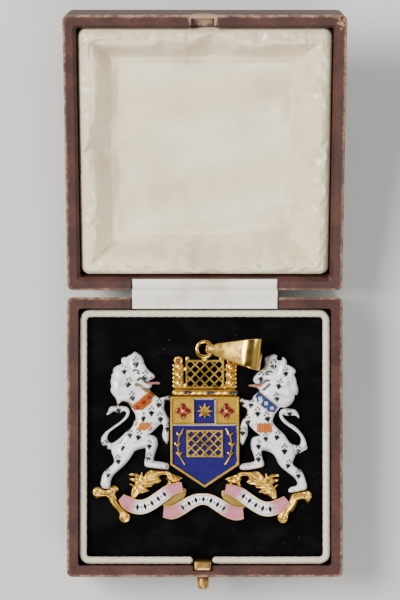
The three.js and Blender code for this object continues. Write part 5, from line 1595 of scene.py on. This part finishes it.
@dataclass
class Bail:
    """The strap bent round the suspension ring, narrow at the ring and wide at its open end.

    Args:
        small, big: Inner radii of its two bends.
        reach: Distance between their middles.
        thick: Of the strap.
        plan: Distance from the ring and half width, in pairs.
        pitch, yaw: How it lies, in degrees.
        root: Middle of its narrow bend.
    """

    small: float = 1.0
    big: float = 3.05
    reach: float = 10.8
    thick: float = 0.6
    plan: Rows = ((-3, 1.05), (0.7, 1.05), (1.9, 1.72), (15.45, 4.66))
    pitch: float = 18.2
    yaw: float = -6.3
    root: tuple[float, float, float] = (1.75, 24.2, 18.4)

    def middle_line(self) -> Array:
        """A loop round two circles, half the thickness outside their radii, by way of tangents.

        The tangents leave both circles at the angle pi - acos((big - small) / reach).
        """
        leave = math.pi - math.acos((self.big - self.small) / self.reach)
        small, big = self.small + self.thick / 2, self.big + self.thick / 2
        wide = np.linspace(-leave, leave, 60)
        tight = np.linspace(leave, 2 * np.pi - leave, 30)
        far, near = circle(wide, big) + [self.reach, 0], circle(tight, small)
        t = np.linspace(0, 1, 32)[1:-1, None]
        there, back = (a[-1] * (1 - t) + b[0] * t for a, b in ((far, near), (near, far)))
        loop = np.concatenate([far, there, near, back])
        return joined(loop[:, 0], 0, loop[:, 1])

    def build(self, gold: Material) -> None:
        """Carries the strap round its loop, its half width read from its plan, and lays it down."""
        path = self.middle_line()
        at, half = np.array(self.plan).T
        section = strip_profile(np.interp(path[:, 0], at, half), self.thick, 0.14, 26)
        longer = np.concatenate([path[-1:], path, path[:1]])
        sections = np.concatenate([section[-1:], section, section[:1]])
        grid = carried(longer, sections, (0, 1, 0))[1:-1]
        x, z = rotated(grid[..., 0], grid[..., 2], math.radians(self.pitch))
        x, y = rotated(x, grid[..., 1], math.radians(self.yaw))
        points = (joined(x, y, z) + self.root).reshape(-1, 3)
        quads = grid_quads(*grid.shape[:2], wrap_rows=True)
        make_piece("bail_strap", points, [quads], gold, "gold", ["bail"], sharp=50)


LEAF = (
    (-21.1, -10.6), (-20.9, -10.2), (-19.9, -10.0), (-18.9, -10.1), (-18.1, -10.6), (-17.5, -9.9),
    (-17.25, -9.7), (-17.2, -10.8), (-17.05, -11.3), (-16.6, -10.4), (-16.1, -9.8), (-15.2, -9.25),
    (-13.9, -9.35), (-12.4, -9.5), (-11.0, -9.5), (-9.9, -9.55), (-9.1, -10.1), (-8.3, -10.5),
    (-7.2, -10.9), (-6.4, -11.3), (-5.95, -11.6), (-6.7, -11.8), (-6.9, -12.5), (-7.6, -12.95),
    (-8.7, -12.75), (-9.7, -13.15), (-10.6, -13.5), (-10.2, -12.5), (-10.7, -11.6), (-10.5, -10.8),
    (-11.6, -10.5), (-12.6, -10.9), (-12.5, -11.5), (-11.9, -12.4), (-13.2, -12.95),
    (-14.1, -13.35), (-15.0, -13.9), (-16.2, -14.2), (-15.2, -15.1), (-16.2, -15.25),
    (-17.1, -15.6), (-18.2, -16.2), (-19.3, -17.0), (-20.35, -16.8), (-20.5, -16.1), (-20.3, -14.9),
    (-20.0, -13.85), (-20.85, -13.2), (-20.4, -12.95), (-19.6, -13.5), (-19.2, -13.0),
    (-19.95, -12.2), (-20.6, -12.0), (-20.9, -11.5), (-19.95, -11.4), (-19.2, -11.6),
    (-19.45, -10.95), (-20.35, -10.75),
)
LEAF_FORMS = (
    ((-19.6, -16.4, 0.9, 0.9), (-18.9, -14.8, 1.4, 1.2), (-17.4, -13.0, 1.8, 1.4),
     (-15.2, -11.7, 1.9, 1.5), (-12.9, -10.3, 1.0, 1.2), (-10.6, -10.2, 0.7, 1.0)),
    ((-17.8, -12.6, 1.0, 1.0), (-19.6, -11.1, 0.9, 0.9), (-20.8, -10.4, 0.5, 0.7)),
    ((-18.4, -13.4, 0.9, 0.9), (-19.8, -12.6, 0.7, 0.8), (-20.7, -11.8, 0.4, 0.6)),
    ((-16.4, -12.0, 1.0, 1.0), (-17.6, -10.8, 0.5, 0.8), (-17.4, -10.1, 0.4, 0.7)),
    ((-14.9, -11.6, 1.0, 1.0), (-15.4, -10.2, 0.7, 0.9), (-14.6, -9.6, 0.5, 0.7)),
    ((-14.8, -12.0, 1.0, 1.0), (-13.2, -12.3, 0.7, 0.8), (-12.3, -12.1, 0.4, 0.6)),
    ((-16.4, -13.0, 1.0, 1.0), (-14.8, -13.4, 0.7, 0.8), (-14.6, -13.7, 0.4, 0.6)),
    ((-17.7, -14.2, 1.0, 1.0), (-16.4, -14.9, 0.7, 0.8), (-15.6, -15.0, 0.4, 0.6)),
    ((-9.9, -10.6, 0.8, 0.9), (-8.9, -11.6, 1.1, 1.2), (-7.2, -11.7, 0.7, 0.9)),
)
BRACKET_LEFT = (
    (-31.0, -15.4), (-30.8, -14.3), (-30.0, -13.8), (-29.1, -14.05), (-28.4, -14.5), (-27.4, -14.9),
    (-26.5, -14.5), (-25.8, -13.8), (-25.2, -13.45), (-24.4, -13.65), (-23.85, -14.45),
    (-24.0, -15.05), (-24.6, -15.5), (-24.5, -16.4), (-24.2, -17.6), (-23.2, -19.0),
    (-22.1, -20.15), (-21.05, -21.0), (-20.45, -21.9), (-20.65, -23.1), (-21.7, -23.8),
    (-22.95, -23.6), (-23.75, -22.5), (-23.55, -21.4), (-24.3, -20.15), (-25.35, -19.2),
    (-26.2, -18.15), (-26.7, -17.0), (-27.8, -16.5), (-28.9, -16.8), (-29.9, -17.05),
    (-30.75, -16.4),
)
BRACKET_LEFT_FORMS = (
    ((-30.0, -15.4, 1.3, 1.5), (-28.9, -15.6, 1.2, 1.4), (-27.4, -15.7, 1.1, 1.4),
     (-25.8, -15.7, 1.2, 1.5)),
    ((-25.9, -15.6, 1.1, 1.4), (-25.1, -14.6, 0.9, 1.3)),
    ((-26.2, -16.4, 1.1, 1.5), (-25.4, -18.0, 1.0, 1.4), (-24.2, -19.6, 1.0, 1.3),
     (-23.1, -20.8, 1.1, 1.4), (-22.1, -22.3, 1.7, 1.7)),
)
BRACKET_RIGHT = (
    (29.4, -15.4), (29.6, -16.4), (29.2, -17.4), (28.7, -18.25), (28.15, -18.2), (27.8, -17.6),
    (27.0, -17.4), (25.9, -17.6), (25.4, -18.8), (24.5, -20.4), (23.4, -21.2), (23.1, -22.2),
    (23.0, -23.3), (22.2, -24.0), (20.95, -23.9), (20.15, -23.1), (19.9, -22.1), (20.7, -21.0),
    (21.8, -19.9), (22.8, -18.6), (23.4, -17.5), (23.75, -16.2), (24.8, -15.65), (26.6, -15.35),
    (27.9, -15.1), (28.7, -14.75),
)
BRACKET_RIGHT_FORMS = (
    ((28.7, -15.8, 1.0, 1.4), (28.6, -17.2, 0.8, 1.2)),
    ((28.4, -16.1, 1.2, 1.4), (26.6, -16.4, 1.1, 1.4), (24.9, -16.8, 1.1, 1.4)),
    ((24.7, -17.1, 1.1, 1.5), (23.9, -18.8, 1.1, 1.4), (22.7, -20.2, 1.1, 1.4),
     (21.5, -22.3, 1.6, 1.7)),
)
LEAF_GROOVES = (
    ((-19.7, -16.3), (-18.9, -14.9), (-17.5, -13.0), (-15.4, -11.6), (-13.0, -10.2),
     (-10.8, -9.95)),
    ((-18.2, -13.9), (-19.4, -13.0), (-20.2, -11.9)),
    ((-17.6, -13.1), (-18.9, -11.7), (-20.4, -10.5)),
    ((-16.6, -12.4), (-17.0, -11.2), (-17.35, -10.2)),
    ((-15.6, -11.8), (-15.7, -10.8), (-15.0, -9.8)),
    ((-16.3, -12.2), (-14.6, -12.3), (-12.9, -12.5)),
    ((-17.4, -13.1), (-16.2, -13.5), (-14.9, -13.6)),
    ((-18.4, -14.4), (-17.4, -15.0), (-16.4, -15.0)),
    ((-19.1, -15.4), (-19.7, -15.0), (-20.0, -14.3)),
    ((-10.0, -10.2), (-9.4, -11.4), (-9.9, -12.8)),
    ((-9.4, -10.9), (-8.4, -11.5), (-7.6, -12.5)),
    ((-9.0, -10.7), (-7.6, -11.2), (-6.5, -11.4)),
)
BRACKET_LEFT_GROOVES = (
    curl(-22.1, -22.35, 1.15, 110, 1.3), curl(-29.9, -15.4, 0.85, 20, 1.2),
    curl(-25.0, -14.5, 0.6, 200, 1.1),
    ((-28.7, -15.5), (-27.2, -15.9), (-26.0, -16.6), (-25.2, -18.2), (-24.0, -19.8),
     (-23.0, -20.9)),
    ((-27.8, -15.2), (-26.4, -15.3), (-25.5, -16.1), (-24.9, -17.2)),
)
BRACKET_RIGHT_GROOVES = (
    curl(21.5, -22.4, 1.1, 60, -1.3), curl(28.6, -16.9, 0.75, 160, -1.2),
    ((28.2, -15.6), (26.6, -16.1), (25.1, -16.8), (24.1, -18.4), (22.9, -20.1), (22.2, -21.0)),
    ((27.3, -15.7), (25.6, -16.2), (24.5, -17.1), (23.6, -18.3)),
)


@dataclass
class Leafwork:
    """Gold acanthus under the shield and the scrolled brackets outside it.

    Args:
        name: Which solid it stands for.
        outline: Its plan.
        forms: Its lobes.
        grooves: Lines cut into it.
    """

    name: str
    outline: Rows
    forms: Sequence[Rows]
    grooves: Sequence[Rows]

    def build(self, gold: Material) -> None:
        """Lobes merge over a rounded edge, and smooth-sided grooves are cut along its lines."""
        line = spline(self.outline, 4, closed=True)

        def inside(x: Array, y: Array) -> Array:
            """Distance to the plan."""
            return inside_outline(x, y, line)

        def height(x: Array, y: Array, edge: Array) -> Array:
            """Rounded edge, lobes and veins."""
            lobes = soft_max([dome(x, y, rows) for rows in self.forms], 0.08) - 0.1
            cut = np.max([groove(x, y, rows) for rows in self.grooves], axis=0)
            rise = 0.42 + 0.4 * (1 - np.exp(-edge / 0.22)) + 0.42 * np.clip(lobes, 0, None)
            return rise - 0.34 * cut * smoothstep(0, 0.3, edge)

        form = Relief(inside, height, box_around(line), LEAF_STEP).build()
        make_piece(f"gold_{self.name}", *form, gold, "gold", [self.name], sharp=60)


def leafwork() -> list[Leafwork]:
    """Sets out the leaves and brackets. The right leaf is the left one, mirrored and lower."""
    outline, *rest = (mirrored(rows, -0.5, -0.3) for rows in (LEAF, *LEAF_FORMS, *LEAF_GROOVES))
    forms, grooves = rest[: len(LEAF_FORMS)], rest[len(LEAF_FORMS) :]
    return [
        Leafwork("leaf_left", LEAF, LEAF_FORMS, LEAF_GROOVES),
        Leafwork("leaf_right", outline, forms, grooves),
        Leafwork("bracket_left", BRACKET_LEFT, BRACKET_LEFT_FORMS, BRACKET_LEFT_GROOVES),
        Leafwork("bracket_right", BRACKET_RIGHT, BRACKET_RIGHT_FORMS, BRACKET_RIGHT_GROOVES),
    ]


@dataclass
class Ribbon:
    """One long enamelled ribbon in three waves over two gold folds.

    Args:
        left, centre: Waves as x, y and half width.
        fold: The fold between them, alike.
        right: How far the mirrored wave and fold are moved in x and in y.
        pitch: From one lozenge to the next.
        level, fold_level: Heights of the waves and of the folds.
        thick, fold_thick: Their thickness.
        swell: How much higher a wave's middle lies than its ends.
    """

    left: Rows = (
        (-23.1, -16.7, 1.15), (-21.4, -18.2, 1.9), (-19.4, -19.2, 2.05), (-17.2, -19.35, 2.05),
        (-15.0, -18.5, 1.95), (-12.6, -16.9, 1.9), (-10.2, -15.2, 1.85), (-8.2, -14.3, 1.6),
        (-6.2, -13.9, 1.4),
    )
    centre: Rows = (
        (-11.4, -20.7, 1.6), (-9.0, -20.9, 1.9), (-6.6, -19.8, 1.9), (-4.2, -18.3, 1.85),
        (-2.2, -17.4, 1.7), (-0.4, -17.2, 1.6), (1.4, -17.5, 1.7), (3.6, -18.7, 1.85),
        (6.2, -20.3, 1.95), (8.6, -21.2, 1.9), (10.6, -21.0, 1.7),
    )
    fold: Rows = ((-6.0, -14.2, 0.9), (-6.6, -16.0, 1.3), (-9.0, -17.8, 1.5), (-11.0, -19.6, 1.5))
    right: tuple[float, float] = (-0.5, -0.55)
    pitch: float = 2.1
    level: float = BACK + 1.02
    fold_level: float = BACK + 0.4
    thick: float = 0.85
    fold_thick: float = 0.75
    swell: float = 0.22

    def strip(
        self, rows: Rows, level: float, thick: float, lift: float
    ) -> tuple[Array, list[Array], Array, Array]:
        """Carries a strip along a wave, its height swelling as a sine over its length.

        Returns:
            Points, faces, and for each point its place across, -1 to 1, and along in millimetres.
        """
        line = spline(rows, 22)
        far = run_length(line[:, :2])
        share = far / far[-1]
        path = joined(*line[:, :2].T, level + lift * np.sin(np.pi * share))
        profile = strip_profile(line[:, 2], thick, 0.08, 44)
        grid = carried(path, profile)
        across = profile[..., 0] / line[:, 2:3]
        points, faces = close_ends(grid)
        v = np.append(across.ravel(), [0, 0])
        u = np.append(np.repeat(far, grid.shape[1]), [0, far[-1]])
        return points, faces, v, u

    def paint(self, v: Array, u: Array, far: float) -> Array:
        """Pink ends fade to a white middle with lozenges and dots, between gold edges.

        A lozenge is |u| + |v| under a size, and the dots stand half a pitch between them.
        """
        share = u / far
        coat = Coat(len(v), WHITE)
        blush = 1 - smoothstep(0.16, 0.34, share) + smoothstep(0.66, 0.84, share)
        coat.lay(PINK, np.clip(blush, 0, 1) * (0.88 + 0.1 * v**2))
        pitch = self.pitch
        near = (u - far / 2 + pitch / 2) % pitch - pitch / 2
        between = (u - far / 2) % pitch - pitch / 2
        middle = 1 - smoothstep(0.26, 0.3, np.abs(share - 0.5))
        lozenge = 1 - smoothstep(0.50, 0.58, np.abs(near) * 1.05 + np.abs(v))
        dot = 1 - smoothstep(0.2, 0.27, np.hypot(between, v * 1.7))
        rail = smoothstep(0.055, 0.02, np.abs(np.abs(v) - 0.68)) * 0.75
        coat.lay(INK, np.clip(lozenge + dot + rail, 0, 1) * middle)
        coat.lay(GOLD_PAINT, smoothstep(0.84, 0.88, np.abs(v)))
        return coat.colours

    def build(self, enamel: Material, gold: Material) -> None:
        """Makes the waves and folds."""
        right, right_fold = (mirrored(rows, *self.right) for rows in (self.left, self.fold))
        for name, rows in (("left", self.left), ("centre", self.centre), ("right", right)):
            points, faces, v, u = self.strip(rows, self.level, self.thick, self.swell)
            make_piece(
                f"ribbon_{name}", points, faces, enamel, "white_enamel", ["ribbon_scroll"],
                sharp=50, colours=self.paint(v, u, float(u.max())),
            )
        for name, rows in (("left", self.fold), ("right", right_fold)):
            points, faces, _, _ = self.strip(rows, self.fold_level, self.fold_thick, 0.0)
            make_piece(f"ribbon_fold_{name}", points, faces, gold, "gold")


@dataclass
class Badge:
    """The jewel with all that is fixed to it."""

    shield: Shield = field(default_factory=Shield)
    crest: Crest = field(default_factory=Crest)
    bail: Bail = field(default_factory=Bail)
    ribbon: Ribbon = field(default_factory=Ribbon)

    def build(self) -> None:
        """Makes every part of the badge."""
        gold = Gold("cast_gold").material()
        bright = Gold("polished_gold", (0.95, 0.61, 0.13), 0.08).material()
        dull = Gold("olive_gold", (0.40, 0.28, 0.07), 0.36).material()
        matted = Gold("matted_gold", (0.56, 0.34, 0.045), 0.38, 0.02).material()
        white = Enamel("painted_enamel").material()
        blue = Enamel("blue_enamel", BLUE).material()
        red = Enamel("red_enamel", RED).material()
        dark = Enamel("dark_enamel", (0.02, 0.022, 0.04)).material()
        for lion in lions():
            lion.build(white, Enamel(f"collar_enamel_{lion.name}").material())
        self.shield.build(gold, matted, blue, red)
        self.crest.build(gold, bright, red, dark)
        self.bail.build(bright)
        for leaves in leafwork():
            leaves.build(gold)
        self.ribbon.build(Enamel("ribbon_enamel").material(), dull)


@dataclass
class Studio:
    """Pale floor, soft light from above and the camera over the open case.

    Args:
        tilt: How far the camera leans back from straight down, in degrees.
        away: Its distance in metres.
        aim: What it and the lamps look at.
        focal, sensor: Its focal length and sensor width, in millimetres.
        shift: Its shift to the right and up.
        half: Half the floor's side, in metres.
        lamps: Name, place, side in metres, watts and colour of each lamp.
        sky_stops: Height, 0 to 1, and brightness of the surroundings.
    """

    tilt: float = 1.14
    away: float = 0.6
    aim: tuple[float, float, float] = (0.0, 0.03955, 0.020)
    focal: float = 130.58
    sensor: float = 36
    shift: tuple[float, float] = (-0.008, -0.01083)
    half: float = 2.5
    lamps: tuple = (
        ("key", (-0.60, 0.22, 0.80), 0.45, 15, (1.0, 0.97, 0.92)),
        ("front", (0.12, -0.50, 0.72), 0.35, 4.2, (1.0, 0.98, 0.95)),
        ("side", (0.75, 0.25, 0.5), 0.4, 2.2, (0.95, 0.97, 1.0)),
    )
    sky_stops: Rows = ((0.0, 0.12), (0.30, 0.50), (0.66, 0.42), (0.90, 0.09), (1.0, 0.07))

    def floor(self) -> None:
        """A pale matt plane with faint mottling, large enough for every view."""
        half = self.half
        corners = [(-half, -half, 0), (half, -half, 0), (half, half, 0), (-half, half, 0)]
        mesh = bpy.data.meshes.new("floor")
        mesh.from_pydata(corners, [], [(0, 1, 2, 3)])
        p = Paint("floor_paint")
        mottle = p.noise(p.place(), 9, 3)
        colour = p.mix((0.66, 0.65, 0.63), (0.70, 0.69, 0.67), mottle)
        mesh.materials.append(p.finish(colour, 0.8))
        add_object("floor", mesh)

    def lamp(self, name: str, place: Vec, size: float, power: float, colour: Colour) -> None:
        """A square area light turned to the case."""
        light = bpy.data.lights.new(name, "AREA")
        light.shape, light.size, light.energy, light.color = "SQUARE", size, power, colour
        lamp = add_object(name, light)
        lamp.location = place
        aim = Vector(self.aim) - lamp.location
        lamp.rotation_euler = aim.to_track_quat("-Z", "Y").to_euler()

    def sky(self) -> None:
        """Soft grey surroundings, dim overhead so that flat gloss stays deep."""
        world = bpy.data.worlds.new("studio")
        bpy.context.scene.world = world
        world.use_nodes = True
        tree = world.node_tree
        tree.nodes.clear()
        where = tree.nodes.new("ShaderNodeTexCoord")
        parts = tree.nodes.new("ShaderNodeSeparateXYZ")
        ramp = tree.nodes.new("ShaderNodeValToRGB")
        for at, _ in self.sky_stops[1:-1]:
            ramp.color_ramp.elements.new(at)
        for stop, (at, level) in zip(ramp.color_ramp.elements, self.sky_stops):
            stop.position, stop.color = at, (level, level, level, 1)
        back = tree.nodes.new("ShaderNodeBackground")
        out = tree.nodes.new("ShaderNodeOutputWorld")
        tree.links.new(where.outputs["Generated"], parts.inputs[0])
        tree.links.new(parts.outputs[2], ramp.inputs[0])
        tree.links.new(ramp.outputs[0], back.inputs["Strength"])
        tree.links.new(back.outputs[0], out.inputs["Surface"])

    def camera(self) -> None:
        """Sets the camera at the photograph's place."""
        lens = bpy.data.cameras.new("camera")
        lens.lens, lens.sensor_width, lens.sensor_fit = self.focal, self.sensor, "AUTO"
        lens.shift_x, lens.shift_y = self.shift
        lean = math.radians(self.tilt)
        camera = add_object("camera", lens)
        x, y, z = self.aim
        camera.location = (x, y - self.away * math.sin(lean), z + self.away * math.cos(lean))
        camera.rotation_euler = (lean, 0, 0)
        bpy.context.scene.camera = camera

    def build(self) -> None:
        """Sets everything up."""
        self.camera()
        self.floor()
        self.sky()
        for lamp in self.lamps:
            self.lamp(*lamp)


def main() -> None:
    """Builds the studio, the case and the badge."""
    logging.basicConfig(level=logging.INFO, format="%(name)s: %(message)s")
    Studio().build()
    PresentationCase().build()
    Badge().build()
    log.info("sizes kept")


if __name__ == "__main__":
    main()
